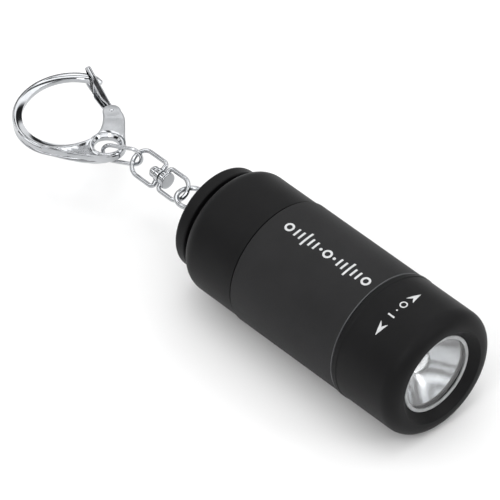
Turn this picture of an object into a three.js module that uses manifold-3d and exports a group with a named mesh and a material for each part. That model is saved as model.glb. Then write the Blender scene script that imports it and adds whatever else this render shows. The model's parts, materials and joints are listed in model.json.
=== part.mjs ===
// Keychain flashlight: a rechargeable twist-head torch on its side, with its chain and snap hook drawn out behind it.
// Millimetres, +Z up. The torch's axis lies along Y, the light faces -Y, and the hook points to +Y.
// Every size below can be changed by itself. "front" is towards the light, "rear" is towards the hook.
import * as THREE from "three";
import { mergeVertices } from "three/addons/utils/BufferGeometryUtils.js";
import Module from "manifold-3d";

const wasm = await Module();
wasm.setup();

// Fits
const fit = 0.15; // gap between pieces that sit still on each other
const running = 0.2; // gap between pieces that turn or slide on each other
const seam = 0.24; // visible joint line between the outer shells
const chainGap = 0.4; // gap between the wires of two links

// Torch, outside
const bodyRadius = 12.5;
const bodyLength = 26.05;
const sleeveWall = 1.4;
const seamChamfer = 0.2;
const headOversize = 0.05; // the head's radius beyond the sleeve's
const headLipHeight = 0.1; // the lip at its joint line stands this far above the head
const headLipLength = 0.9;
const headLength = 14.85;
const headRounding = 2.7;
const mouthRadius = 9.3;
const lensOpening = 7.8;
const mouthDepth = 1.45;
const mouthEdge = 0.1; // broken edge of the mouth and of the window's opening
const capUndersize = 0.2; // the cap's radius short of the sleeve's
const capLength = 10.4;
const capShoulder = 3.2;
const grooveRadius = 8.9;
const grooveWidth = 0.75;
const discRadius = 10.25;
const discThickness = 2.75;
const discRounding = 0.9;

// Torch, inside
const coreWall = 2.3;
const neckRadius = 9.7;
const frontNeckLength = 5.0;
const rearNeckLength = 3.0;
const beadHeight = 0.45;
const beadWidth = 0.6;
const ringThickness = 1.2; // section of the rubber seals
const lipWidth = 0.9; // front lip that holds the lens
const lensThickness = 1.3;
const lensFlange = 0.85;
const gasketThickness = 0.6;
const gasketWidth = 1.0;
const boardRoom = 0.9; // room in front of the diode's board
const solderGap = 0.03; // between two pieces that are soldered or pressed together
const wiperWidth = 1.2;
const wiperLength = 3.2;
const wiperThickness = 0.12;
const wiperFoot = 0.9; // length that is soldered to the board
const reflectorMouth = 7.05;
const reflectorWall = 0.7;
const ledRadius = 2.4;
const ledHeight = 3.7;
const boardThickness = 1.0;
const cellRadius = 5.8;
const cellLength = 5.0;
const cellCount = 3;
const wrapThickness = 0.35;
const tabThickness = 0.2;
const tabWidth = 4.0;
const plugWidth = 12.0;
const plugHeight = 4.5;
const plugLength = 11.7;
const plugInside = 4.0; // length of the plug held inside the carrier
const plugWall = 0.35;
const tongueThickness = 1.85;
const contactPitches = [-3.5, -1.0, 1.0, 3.5];
const contactWidth = 1.1;
const contactThickness = 0.2;
const mainBoardWidth = 14.0;
const mainBoardLength = 11.0;
const endPlateThickness = 1.4;

// Lug on the end cap and the ring in it
const lugThickness = 1.6;
const lugWall = 0.85;
const lugReach = 3.5; // from the disc's back to the middle of the lug's hole
const tailWire = 0.95;
const tailRingRadius = 2.75; // to the middle of the wire

// Swivel
const bowWire = 0.85;
const bowRoll = 42; // degrees that the swivel's +X side is turned up about its own length
const rearBowWidth = 5.4;
const rearBowLength = 6.75;
const frontBowWidth = 5.9;
const frontBowLength = 7.75;
const crossPiece = 1.0;
const crossBoss = 1.15; // radius of the boss round the rivet
const rivetRadius = 0.6;
const rivetHeadRadius = 1.6;
const rivetHeadThickness = 0.4;
const rivetTailRadius = 1.1;
const rivetTailThickness = 1.7;

// Oval link
const linkWire = 0.75;
const linkReach = 7.4; // between the middles of its two end wires
const linkWidth = 4.4;
const linkTurn = 29; // degrees that the link lies off the torch's axis, seen from above
const linkShift = 0.6; // along the front bow's end wire, towards its high side
const eyeBearing = 20; // degrees from +X to the eye's centre, from the link's far wire

// Snap hook, flat in the XY plane
const hookThickness = 2.1; // of the bent bar
const baseThickness = 3.2; // of the arm that carries the pivot
const eyeThickness = 1.6;
const hookBevel = 0.5;
const eyeRadius = 2.3;
const eyeWall = 1.2;
const loopHalfLength = 10.4; // to the middle of the bent bar
const loopHalfWidth = 9.3;
const loopTilt = 23; // degrees that the loop's long axis is turned
const loopRise = 11.8; // from the eye's centre to the loop's centre
const loopShift = 1.2;
const barWidth = 1.8;
const noseAngle = 4; // where on the loop's oval the bar ends
const barFootAngle = 272; // and where it meets the arm's foot
const webStartAngle = 208; // where the web leaves the bar on its other side
const webThickness = 1.3;
const webInset = 0.3;
const armFoot = 1.2; // where the arm starts, beyond the eye's centre
const armRadius = 1.7;
const pivotRise = 5.7; // gate's pivot, from the eye's centre
const pivotShift = 6.3;
const gateLength = 12.8;
const gateAngle = 70.4; // degrees from +X to the closed gate
const gateTipWidth = 4.7;
const gateRootWidth = 1.9;
const gateThickness = 0.6;
const gateFlange = 0.9;
const gateSlotWidth = 2.9;
const gateSlotStart = 9.6;
const noseThickness = 1.9;
const forkSlot = 1.8;
const pinRadius = 0.55;
const springWire = 0.2;
const gateTongue = 0.7;
const springTurns = 2;

// Facets round each kind of piece
const shellSides = 40;
const innerSides = 24;
const smallSides = 12;
const bossSides = 20;

const finishes = {
  softBlack: { color: 0x1b1b1c, roughness: 0.6, metalness: 0 },
  softGrey: { color: 0x2b2b2d, roughness: 0.65, metalness: 0 },
  clear: { color: 0xe8edf0, roughness: 0.05, metalness: 0, transparent: true, opacity: 0.35 },
  mirrored: { color: 0xd5d6d8, roughness: 0.12, metalness: 1 },
  chromed: { color: 0xc9cbce, roughness: 0.18, metalness: 1 },
  phosphor: { color: 0xe3c437, roughness: 0.5, metalness: 0 },
  board: { color: 0x1f5a3a, roughness: 0.5, metalness: 0 },
  gold: { color: 0xd6a84a, roughness: 0.3, metalness: 1 },
  nickel: { color: 0xa9aaa6, roughness: 0.35, metalness: 1 },
  rubber: { color: 0x111111, roughness: 0.85, metalness: 0 },
  carrier: { color: 0x26272a, roughness: 0.55, metalness: 0 },
  wrap: { color: 0x2f6a4c, roughness: 0.35, metalness: 0 },
  chip: { color: 0x17181a, roughness: 0.5, metalness: 0 },
  ceramic: { color: 0x8a6a48, roughness: 0.6, metalness: 0 },
  lamp: { color: 0xb8382e, roughness: 0.2, metalness: 0 },
  steel: { color: 0x8f9194, roughness: 0.3, metalness: 1 },
};

const degrees = Math.PI / 180;
const object = new THREE.Group();

// ---------- solids ----------

// A closed three.js geometry as a manifold-3d solid with its faces outwards.
function solidOf(geometry) {
  const plain = geometry.clone();
  plain.deleteAttribute("normal");
  plain.deleteAttribute("uv");
  const merged = mergeVertices(plain, 1e-4);
  const corners = merged.index.array;
  const kept = [];
  for (let i = 0; i < corners.length; i += 3) {
    const [a, b, c] = [corners[i], corners[i + 1], corners[i + 2]];
    if (a !== b && b !== c && c !== a) kept.push(a, b, c);
  }
  const vertProperties = merged.attributes.position.array;
  const made = new wasm.Manifold(new wasm.Mesh({ numProp: 3, vertProperties, triVerts: new Uint32Array(kept) }));
  if (made.volume() > 0) return made;
  const flipped = [];
  for (let i = 0; i < kept.length; i += 3) flipped.push(kept[i], kept[i + 2], kept[i + 1]);
  return new wasm.Manifold(new wasm.Mesh({ numProp: 3, vertProperties, triVerts: new Uint32Array(flipped) }));
}

// Adds a solid to the object as a named mesh.
function addPiece(name, solid, finish) {
  const mesh = solid.getMesh();
  const geometry = new THREE.BufferGeometry();
  geometry.setAttribute("position", new THREE.BufferAttribute(new Float32Array(mesh.vertProperties), 3));
  geometry.setIndex(new THREE.BufferAttribute(new Uint32Array(mesh.triVerts), 1));
  geometry.computeVertexNormals();
  const piece = new THREE.Mesh(geometry, new THREE.MeshStandardMaterial(finishes[finish]));
  piece.name = name;
  object.add(piece);
}

// A closed outline of [radius, y] points turned about the Y axis, with a flat facet underneath.
function turned(outline, sides = innerSides) {
  const points = outline.map(([radius, y]) => new THREE.Vector2(radius, y));
  const onAxis = outline[0][0] === 0 && outline[outline.length - 1][0] === 0;
  if (!onAxis) points.push(points[0].clone());
  return solidOf(new THREE.LatheGeometry(points, sides, Math.PI / sides));
}

// A quarter round of [radius, y] points about a centre, from one angle to another in degrees.
function rounding(centreRadius, centreY, radius, from, to, steps = 5) {
  return Array.from({ length: steps + 1 }, (_, i) => {
    const angle = (from + ((to - from) * i) / steps) * degrees;
    return [centreRadius + radius * Math.cos(angle), centreY + radius * Math.sin(angle)];
  });
}

// A box given by its two corners.
function block(low, high) {
  const size = high.map((value, i) => value - low[i]);
  const middle = high.map((value, i) => (value + low[i]) / 2);
  return solidOf(new THREE.BoxGeometry(...size).translate(...middle));
}

// A round bar along Y, from one y to the other.
function barAlongY(radius, from, to, sides = smallSides) {
  return solidOf(new THREE.CylinderGeometry(radius, radius, to - from, sides).translate(0, (from + to) / 2, 0));
}

// A round bar along Z through a point.
function barAlongZ(radius, x, y, from, to, sides = smallSides) {
  const bar = new THREE.CylinderGeometry(radius, radius, to - from, sides);
  return solidOf(bar.rotateX(90 * degrees).translate(x, y, (from + to) / 2));
}

// A flat shape in the XY plane, thick along Z about z = 0, with its edges rounded off by `edge`.
function plate(shape, thickness, edge = 0, curveSegments = 10) {
  const geometry = new THREE.ExtrudeGeometry(shape, {
    depth: thickness - 2 * edge,
    curveSegments,
    bevelEnabled: edge > 0,
    bevelThickness: edge,
    bevelSize: edge,
    bevelOffset: -edge,
    bevelSegments: 1,
  });
  return solidOf(geometry.translate(0, 0, -thickness / 2 + edge));
}

// A rubber seal of round section about the Y axis.
function seal(radius, y, thickness) {
  return turned(rounding(radius, y, thickness / 2, 0, 300, 5), shellSides);
}

// ---------- stations along the torch's axis, y = 0 in the seam between head and barrel ----------

const headRadius = bodyRadius + headOversize;
const headLipRadius = headRadius + headLipHeight;
const capRadius = bodyRadius - capUndersize;
const headRear = -seam / 2;
const headFront = headRear - headLength;
const sleeveFront = seam / 2;
const sleeveRear = sleeveFront + bodyLength;
const capFront = sleeveRear + seam;
const capShoulderRear = capFront + capLength + capShoulder;
const discFront = capShoulderRear + grooveWidth;
const discRear = discFront + discThickness;
const lipPlane = headFront + mouthDepth;
const lensRear = lipPlane + lensThickness;
const sleeveBore = bodyRadius - sleeveWall;
const coreRadius = sleeveBore - fit;
const coreBore = coreRadius - coreWall;
const neckBore = neckRadius - 1.6;
const neckFront = -frontNeckLength;
const neckRear = sleeveRear + rearNeckLength;
const plugFront = neckRear - endPlateThickness - plugInside;
const plugRear = neckRear + plugLength;
const headBore = neckRadius + beadHeight + running;

// ---------- head ----------

function headShell() {
  const lensSeat = lensOpening + lipWidth + fit;
  const outside = [
    [headLipRadius, headRear],
    [headLipRadius, headRear - headLipLength],
    [headRadius, headRear - headLipLength - 0.25],
    ...rounding(headRadius - headRounding, headFront + headRounding, headRounding, 0, -90, 5),
  ];
  const inside = [
    [mouthRadius + mouthEdge, headFront],
    [mouthRadius, headFront + mouthEdge],
    [lensOpening + mouthEdge, lipPlane],
    [lensOpening, lipPlane + mouthEdge],
    [lensOpening, lipPlane + lensFlange - fit],
    [lensSeat, lipPlane + lensFlange - fit],
    [lensSeat, neckFront - boardThickness - boardRoom],
    [headBore, neckFront - boardThickness - boardRoom],
    [headBore, neckFront + beadWidth + 0.35],
    [neckRadius + running, neckFront + beadWidth + 0.6],
    [neckRadius + running, headRear],
  ];
  return turned([...outside, ...inside], shellSides);
}

function lens() {
  const window = lensOpening - fit;
  const flange = lensOpening + lipWidth;
  const bevel = 0.45;
  return turned([
    [0, lipPlane + 0.05],
    [window - bevel, lipPlane + 0.05],
    [window, lipPlane + 0.05 + bevel / 2],
    [window, lipPlane + lensFlange],
    [flange, lipPlane + lensFlange],
    [flange, lensRear],
    [0, lensRear],
  ]);
}

function lensGasket() {
  const front = lensRear + fit;
  const outer = lensOpening + lipWidth;
  return turned([
    [outer - gasketWidth, front],
    [outer, front],
    [outer, front + gasketThickness],
    [outer - gasketWidth, front + gasketThickness],
  ]);
}

const boardRear = neckFront - 0.35;
const boardFront = boardRear - boardThickness;

// The cup's inside is a parabola of revolution, radius^2 = 4 * focus * depth, cut off at the diode's hole. Its focus
// follows from the room between the gasket and the diode's board.
const cupFront = lensRear + fit + gasketThickness + fit;
const cupHole = ledRadius + fit;
const cupRear = boardFront - fit - reflectorWall * 0.3;
const cupFocus = (reflectorMouth ** 2 - cupHole ** 2) / (4 * (cupRear - cupFront));
const cupDepth = (radius) => (radius * radius) / (4 * cupFocus);
const cupVertex = cupFront + cupDepth(reflectorMouth);

function reflector() {
  const steps = 5;
  const radii = Array.from({ length: steps + 1 }, (_, i) => cupHole + ((reflectorMouth - cupHole) * i) / steps);
  const cup = radii.map((radius) => [radius, cupVertex - cupDepth(radius)]);
  const back = radii.map((radius) => [radius + reflectorWall, cupVertex - cupDepth(radius) + reflectorWall * 0.3]);
  const flange = lensOpening + lipWidth;
  return turned([
    ...cup,
    [flange, cupFront],
    [flange, cupFront + reflectorWall],
    ...back.slice(1, -1).reverse(),
    [cupHole + reflectorWall, cupRear + reflectorWall * 0.3],
    [cupHole, cupRear + reflectorWall * 0.3],
  ]);
}

// The diode stands on its board with its low dome through the cup's hole.
const ledBase = boardFront - fit;
const ledTip = ledBase - ledHeight;
const ledPocketRadius = 1.35;
const ledPocketDepth = 2.0;

function ledDome() {
  const domeHeight = ledRadius * 0.75;
  const crown = Array.from({ length: 7 }, (_, i) => {
    const angle = (i / 6) * 90 * degrees;
    return [i === 0 ? 0 : ledRadius * Math.sin(angle), ledTip + domeHeight - domeHeight * Math.cos(angle)];
  });
  const solid = turned([...crown, [ledRadius, ledBase], [0, ledBase]], innerSides);
  return solid.subtract(barAlongY(ledPocketRadius, ledBase - ledPocketDepth, ledBase + 1));
}

function ledChip() {
  const cupRadius = ledPocketRadius - 0.2;
  const front = ledBase - ledPocketDepth + 0.2;
  return turned(
    [
      [0, front + 0.35],
      [cupRadius * 0.55, front + 0.3],
      [cupRadius - 0.12, front],
      [cupRadius, front],
      [cupRadius, ledBase],
      [0, ledBase],
    ],
    smallSides,
  );
}

// A spring leaf on the rear of the diode's board, with a foot under one end.
function wiper(side) {
  const reach = neckBore - 1.6;
  const leafFront = boardRear + wiperThickness;
  const half = wiperWidth / 2;
  const leaf = block([-half, leafFront, reach - wiperLength], [half, leafFront + wiperThickness, reach]);
  const foot = block([-half, boardRear + solderGap, reach - wiperFoot], [half, leafFront + 0.01, reach]);
  return leaf.add(foot).rotate([0, side * 90, 0]);
}

addPiece("head_shell", headShell(), "softBlack");
addPiece("lens", lens(), "clear");
addPiece("lens_gasket", lensGasket(), "rubber");
addPiece("reflector", reflector(), "mirrored");
addPiece("led_dome", ledDome(), "clear");
addPiece("led_chip", ledChip(), "phosphor");
addPiece("led_board", barAlongY(lensOpening + lipWidth - 0.3, boardFront, boardRear, innerSides), "board");
addPiece("wiper_left", wiper(-1), "gold");
addPiece("wiper_right", wiper(1), "gold");

// ---------- barrel ----------

function bodySleeve() {
  return turned(
    [
      [bodyRadius - seamChamfer, sleeveFront],
      [sleeveBore, sleeveFront],
      [sleeveBore, sleeveRear],
      [bodyRadius - seamChamfer, sleeveRear],
      [bodyRadius, sleeveRear - seamChamfer],
      [bodyRadius, sleeveFront + seamChamfer],
    ],
    shellSides,
  );
}

const sealGroove = ringThickness + 0.2; // width of a seal's groove
const sealDepth = ringThickness - running + 0.1; // depth of a seal's groove
const headSealY = neckFront + beadWidth + 1.9;
const tailSealY = neckRear - 1.2;

function coreTube() {
  const grooveFloor = neckRadius - sealDepth;
  const grooveAt = (y) => [
    [neckRadius, y - sealGroove / 2],
    [grooveFloor, y - sealGroove / 2],
    [grooveFloor, y + sealGroove / 2],
    [neckRadius, y + sealGroove / 2],
  ];
  return turned(
    [
      [neckBore, neckFront],
      [neckRadius, neckFront],
      [neckRadius + beadHeight, neckFront + 0.2],
      [neckRadius + beadHeight, neckFront + beadWidth - 0.2],
      [neckRadius, neckFront + beadWidth],
      ...grooveAt(headSealY),
      [neckRadius, sleeveFront],
      [coreRadius, sleeveFront],
      [coreRadius, sleeveRear],
      [neckRadius, sleeveRear],
      ...grooveAt(tailSealY),
      [neckRadius, neckRear],
      [neckBore, neckRear],
      [neckBore, sleeveRear],
      [coreBore, sleeveRear - 0.6],
      [coreBore, sleeveFront + 0.6],
      [neckBore, sleeveFront],
    ],
    shellSides,
  );
}

// A seal sits on the floor of its groove and stops short of the bore that slides over it.
function neckSeal(y) {
  const floor = neckRadius - sealDepth + 0.03;
  return seal(floor + ringThickness / 2, y, ringThickness);
}

const switchFront = boardRear + 2 * wiperThickness + running + 0.11;
const switchRear = switchFront + boardThickness;

function switchBoard() {
  return barAlongY(neckBore - fit, switchFront, switchRear, innerSides);
}

// Two curved pads on the front of the switch board.
function switchPad(side) {
  const padRadius = neckBore - 2.4;
  const ring = turned([
    [padRadius - 1.2, switchFront - 0.13],
    [padRadius, switchFront - 0.13],
    [padRadius, switchFront - 0.03],
    [padRadius - 1.2, switchFront - 0.03],
  ]);
  const half = neckRadius * side;
  return ring.intersect(block([Math.min(half, 0.8 * side), -20, -3], [Math.max(half, 0.8 * side), 20, 3]));
}

const stackFront = switchRear + 0.5 + tabThickness + fit;
const stackPitch = cellLength + fit;
const stackRear = stackFront + cellCount * stackPitch - fit;

function cell(index) {
  const front = stackFront + index * stackPitch;
  const rear = front + cellLength;
  const edge = 0.4;
  return turned([
    [0, front],
    [cellRadius - edge, front],
    [cellRadius, front + edge],
    [cellRadius, rear - edge],
    [cellRadius - edge, rear],
    [0, rear],
  ]);
}

function cellWrap() {
  const inner = cellRadius + fit;
  const outer = inner + wrapThickness;
  return turned([
    [inner, stackFront - 0.05],
    [outer, stackFront - 0.05],
    [outer, stackRear + 0.05],
    [inner, stackRear + 0.05],
  ]);
}

// A welded strip across one end of the stack.
function batteryTab(y) {
  return block([-tabWidth / 2, y, -cellRadius + 1], [tabWidth / 2, y + tabThickness, cellRadius - 0.5]);
}

// The plug, its board and the plate that holds them at the rear of the carrier.
const plugHalf = plugHeight / 2;
const boardTop = -plugHalf - fit;
const mainBoardFront = stackRear + fit + tabThickness + 0.4;

function mainBoard() {
  const rear = neckRear - endPlateThickness - fit;
  const front = Math.max(mainBoardFront, rear - mainBoardLength);
  return block([-mainBoardWidth / 2, front, boardTop - boardThickness], [mainBoardWidth / 2, rear, boardTop]);
}

// A small part soldered under the board, given by its centre and size.
function soldered(x, y, width, length, height) {
  const top = boardTop - boardThickness - 0.1;
  return block([x - width / 2, y - length / 2, top - height], [x + width / 2, y + length / 2, top]);
}

function endPlate() {
  const disc = turned([
    [0, neckRear - endPlateThickness],
    [neckBore - fit, neckRear - endPlateThickness],
    [neckBore - fit, neckRear],
    [0, neckRear],
  ]);
  const [x, z] = [plugWidth / 2 + fit, plugHalf + fit];
  const lightHole = barAlongY(0.7, neckRear - 5, neckRear + 1, smallSides).translate([0, 0, -plugHalf - 2.6]);
  return disc.subtract(block([-x, neckRear - 5, -z], [x, neckRear + 1, z])).subtract(lightHole);
}

function plugShell() {
  const [x, z] = [plugWidth / 2, plugHalf];
  const outer = block([-x, plugFront, -z], [x, plugRear, z]);
  const inner = block([-x + plugWall, plugFront - 1, -z + plugWall], [x - plugWall, plugRear + 1, z - plugWall]);
  const windowSize = 2.3;
  const windowRear = plugRear - 5.2;
  let shell = outer.subtract(inner);
  for (const side of [-1, 1]) {
    const middle = side * 2.9;
    const low = [middle - windowSize / 2, windowRear - windowSize, -z - 1];
    const high = [middle + windowSize / 2, windowRear, z + 1];
    shell = shell.subtract(block(low, high));
  }
  return shell;
}

const tongueLow = -plugHalf + plugWall + fit;
const tongueTop = tongueLow + tongueThickness;
const tongueHalf = plugWidth / 2 - plugWall - fit;
const tongueRear = plugRear - 0.35;

function plugTongue() {
  const floor = block([-tongueHalf, plugFront + 0.2, tongueLow], [tongueHalf, tongueRear, tongueTop]);
  const root = block([-tongueHalf, plugFront + 0.2, tongueLow], [tongueHalf, plugFront + 2, -tongueLow]);
  return floor.add(root);
}

// The two outer contacts reach further to the mouth than the two data contacts.
function plugContact(index) {
  const x = contactPitches[index];
  const rear = tongueRear - (index === 0 || index === 3 ? 1.0 : 2.0);
  const low = [x - contactWidth / 2, plugFront + 2.15, tongueTop + solderGap];
  return block(low, [x + contactWidth / 2, rear, tongueTop + solderGap + contactThickness]);
}

addPiece("body_sleeve", bodySleeve(), "softGrey");
addPiece("core_tube", coreTube(), "carrier");
addPiece("head_o_ring", neckSeal(headSealY), "rubber");
addPiece("tail_o_ring", neckSeal(tailSealY), "rubber");
addPiece("switch_board", switchBoard(), "board");
addPiece("switch_pad_left", switchPad(-1), "gold");
addPiece("switch_pad_right", switchPad(1), "gold");
["cell_front", "cell_middle", "cell_rear"].forEach((name, i) => addPiece(name, cell(i), "nickel"));
addPiece("cell_wrap", cellWrap(), "wrap");
addPiece("battery_tab_front", batteryTab(stackFront - fit - tabThickness), "nickel");
addPiece("battery_tab_rear", batteryTab(stackRear + fit), "nickel");
addPiece("main_board", mainBoard(), "board");
const partsY = neckRear - endPlateThickness - 5.5;
addPiece("charge_chip", soldered(-2.2, partsY, 4.9, 3.9, 1.4), "chip");
addPiece("charge_resistor", soldered(3.4, partsY - 1.4, 2.0, 1.2, 0.55), "chip");
addPiece("charge_capacitor", soldered(3.4, partsY + 1.4, 2.0, 1.2, 0.9), "ceramic");
addPiece("charge_lamp", soldered(0, neckRear - endPlateThickness - 1.2, 1.6, 0.9, 0.7), "lamp");
addPiece("end_plate", endPlate(), "carrier");
addPiece("usb_shell", plugShell(), "steel");
addPiece("usb_tongue", plugTongue(), "chip");
contactPitches.forEach((_, i) => addPiece("usb_contact_" + (i + 1), plugContact(i), "gold"));

// ---------- end cap ----------

const lugY = discRear + lugReach;
const lugHole = tailWire / 2 + 0.55;

// The cap's outside runs over its shoulder into the groove and out round the disc. Its bore takes the neck, then the
// plug in a narrower pocket.
function tailCap() {
  const plugCorner = Math.hypot(plugWidth / 2, plugHalf) + 0.5;
  const pocketRear = plugRear + 0.35;
  const boreRear = capFront + capLength - 0.2;
  const outside = [
    [capRadius - seamChamfer, capFront],
    [neckRadius + running, capFront],
    [neckRadius + running, boreRear],
    [plugCorner, boreRear + 0.6],
    [plugCorner, pocketRear],
    [0, pocketRear],
    [0, discRear],
    ...rounding(discRadius - discRounding, discRear - discRounding, discRounding, 90, 0, 4),
    ...rounding(discRadius - discRounding / 2, discFront + discRounding / 2, discRounding / 2, 0, -90, 2),
    [grooveRadius, discFront],
    [grooveRadius, capShoulderRear],
    ...rounding(capRadius - capShoulder, capShoulderRear - capShoulder, capShoulder, 88, 0, 5),
    [capRadius, capFront + seamChamfer],
  ];
  const closed = outside.slice(6).concat(outside.slice(0, 6));
  const cap = turned(closed, shellSides);
  const side = lugHole + lugWall;
  const outline = new THREE.Shape();
  outline.moveTo(-side, discRear - discRounding);
  outline.lineTo(-side, lugY);
  outline.absarc(0, lugY, side, Math.PI, 0, true);
  outline.lineTo(side, discRear - discRounding);
  outline.holes.push(new THREE.Path().absarc(0, lugY, lugHole, 0, 2 * Math.PI));
  const lug = plate(outline, lugThickness, 0.2, 8).rotate([0, 90, 0]);
  return cap.add(lug);
}

addPiece("tail_cap", tailCap(), "softBlack");

// ---------- chain ----------

// The ring lies flat through the lug's hole, so its near wire passes along X.
const ringNearY = lugY + 0.2;
const ringFarY = ringNearY + 2 * tailRingRadius;

function tailRing() {
  const ring = new THREE.TorusGeometry(tailRingRadius, tailWire / 2, 8, 28);
  return solidOf(ring.translate(0, ringNearY + tailRingRadius, 0));
}

// A swivel bow in the XY plane: a round end at y = 0, two straight sides and a cross piece that ends at y = length.
function bow(width, length) {
  const half = width / 2;
  const outline = new THREE.Shape();
  outline.moveTo(-half, length);
  outline.lineTo(-half, half);
  outline.absarc(0, half, half, Math.PI, 2 * Math.PI, false);
  outline.lineTo(half, length);
  const inner = half - bowWire;
  const hole = new THREE.Path();
  hole.moveTo(-inner, length - crossPiece);
  hole.lineTo(-inner, half);
  hole.absarc(0, half, inner, Math.PI, 2 * Math.PI, false);
  hole.lineTo(inner, length - crossPiece);
  outline.holes.push(hole);
  const frame = plate(outline, bowWire, 0.18);
  const boss = barAlongY(crossBoss, length - crossPiece, length);
  const rivetHole = barAlongY(rivetRadius + 0.12, length - crossPiece - 1, length + 1);
  return frame.add(boss).subtract(rivetHole).rotate([0, -bowRoll, 0]);
}

const bowGap = 0.25; // between the two cross pieces
const rearBowEnd = ringFarY - tailWire / 2 - bowWire - chainGap; // outer face of the rear bow's round end
const rearCross = rearBowEnd + rearBowLength;
const frontCross = rearCross + bowGap;
const frontBowEnd = frontCross + frontBowLength;

function rivet() {
  const headRear = rearCross - crossPiece - fit;
  const tailFront = frontCross + crossPiece + fit;
  return turned(
    [
      [0, headRear - rivetHeadThickness],
      [rivetHeadRadius, headRear - rivetHeadThickness],
      [rivetHeadRadius, headRear - rivetHeadThickness * 0.3],
      [rivetHeadRadius * 0.7, headRear],
      [rivetRadius, headRear],
      [rivetRadius, tailFront],
      [rivetTailRadius, tailFront],
      [rivetTailRadius, tailFront + rivetTailThickness * 0.6],
      [rivetTailRadius * 0.6, tailFront + rivetTailThickness],
      [0, tailFront + rivetTailThickness],
    ],
    20,
  );
}

addPiece("tail_ring", tailRing(), "chromed");
addPiece("swivel_rear_bow", bow(rearBowWidth, rearBowLength).translate([0, rearBowEnd, 0]), "chromed");
addPiece("swivel_rivet", rivet(), "chromed");
const frontBow = bow(frontBowWidth, frontBowLength).rotate([0, 0, 180]).rotate([0, -2 * bowRoll, 0]);
addPiece("swivel_front_bow", frontBow.translate([0, frontBowEnd, 0]), "chromed");

// The oval link stands upright, one end wire inside the front bow's round end and the other inside the hook's eye. It
// lies a little to the high side of the bow, where the bow's round end curves away.
const bowInside = frontBowWidth / 2 - bowWire;
const linkSeat = Math.sqrt((bowInside - linkWire / 2 - chainGap) ** 2 - linkShift ** 2);
const linkNearX = linkShift * Math.cos(bowRoll * degrees);
const linkNearY = frontBowEnd - frontBowWidth / 2 + linkSeat;
const linkHeight = linkShift * Math.sin(bowRoll * degrees);
const linkPitch = Math.asin(linkHeight / linkReach) / degrees; // down to the hook's own plane
const linkFarX = linkNearX - linkReach * Math.sin(linkTurn * degrees);
const linkFarY = linkNearY + linkReach * Math.cos(linkTurn * degrees);

function ovalLink() {
  const stadium = (path, half) => {
    const end = linkWidth / 2 - linkWire / 2;
    path.absarc(0, end, half, Math.PI, 2 * Math.PI, false);
    path.absarc(0, linkReach - end, half, 0, Math.PI, false);
    return path;
  };
  const outline = stadium(new THREE.Shape(), linkWidth / 2);
  outline.holes.push(stadium(new THREE.Path(), linkWidth / 2 - linkWire));
  const link = plate(outline, linkWire, 0.2, 8);
  return link.rotate([0, 90, 0]).rotate([-linkPitch, 0, 0]).rotate([0, 0, linkTurn]).translate([linkNearX, linkNearY, linkHeight]);
}

addPiece("oval_link", ovalLink(), "chromed");

// ---------- snap hook ----------

// The eye hangs on the link's far wire, so its centre lies a little beyond that wire.
const eyeBeyond = eyeRadius - linkWire / 2 - chainGap - 0.05;
const eyeX = linkFarX + eyeBeyond * Math.cos(eyeBearing * degrees);
const eyeY = linkFarY + eyeBeyond * Math.sin(eyeBearing * degrees);
const loopX = eyeX + loopShift;
const loopY = eyeY + loopRise;
const pivotX = eyeX + pivotShift;
const pivotY = eyeY + pivotRise;

// A point on an oval about the loop's centre, with half axes grown by `grow`, at an angle in degrees.
function onLoop(angle, grow) {
  const [u, v] = [
    (loopHalfLength + grow) * Math.cos(angle * degrees),
    (loopHalfWidth + grow) * Math.sin(angle * degrees),
  ];
  const [c, s] = [Math.cos(loopTilt * degrees), Math.sin(loopTilt * degrees)];
  return new THREE.Vector2(loopX + u * c - v * s, loopY + u * s + v * c);
}

function loopArc(from, to, grow, steps) {
  return Array.from({ length: steps + 1 }, (_, i) => onLoop(from + ((to - from) * i) / steps, grow));
}

function arcAbout(x, y, radius, from, to, steps) {
  return Array.from({ length: steps + 1 }, (_, i) => {
    const angle = (from + ((to - from) * i) / steps) * degrees;
    return new THREE.Vector2(x + radius * Math.cos(angle), y + radius * Math.sin(angle));
  });
}

// A round boss about a line along Z, with its edges rounded off, and a bore through it if one is given.
function bossAlongZ(radius, bore, thickness, x, y) {
  const half = thickness / 2;
  const outside = [
    ...rounding(radius - hookBevel, half - hookBevel, hookBevel, 90, 0, 2),
    ...rounding(radius - hookBevel, hookBevel - half, hookBevel, 0, -90, 2),
  ];
  const inside = [
    ...rounding(bore + hookBevel, hookBevel - half, hookBevel, 270, 180, 2),
    ...rounding(bore + hookBevel, half - hookBevel, hookBevel, 180, 90, 2),
  ];
  const outline = bore > 0 ? [...outside, ...inside] : [[0, half], ...outside, [0, -half]];
  return turned(outline, bossSides).rotate([90, 0, 0]).translate([x, y, 0]);
}

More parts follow.
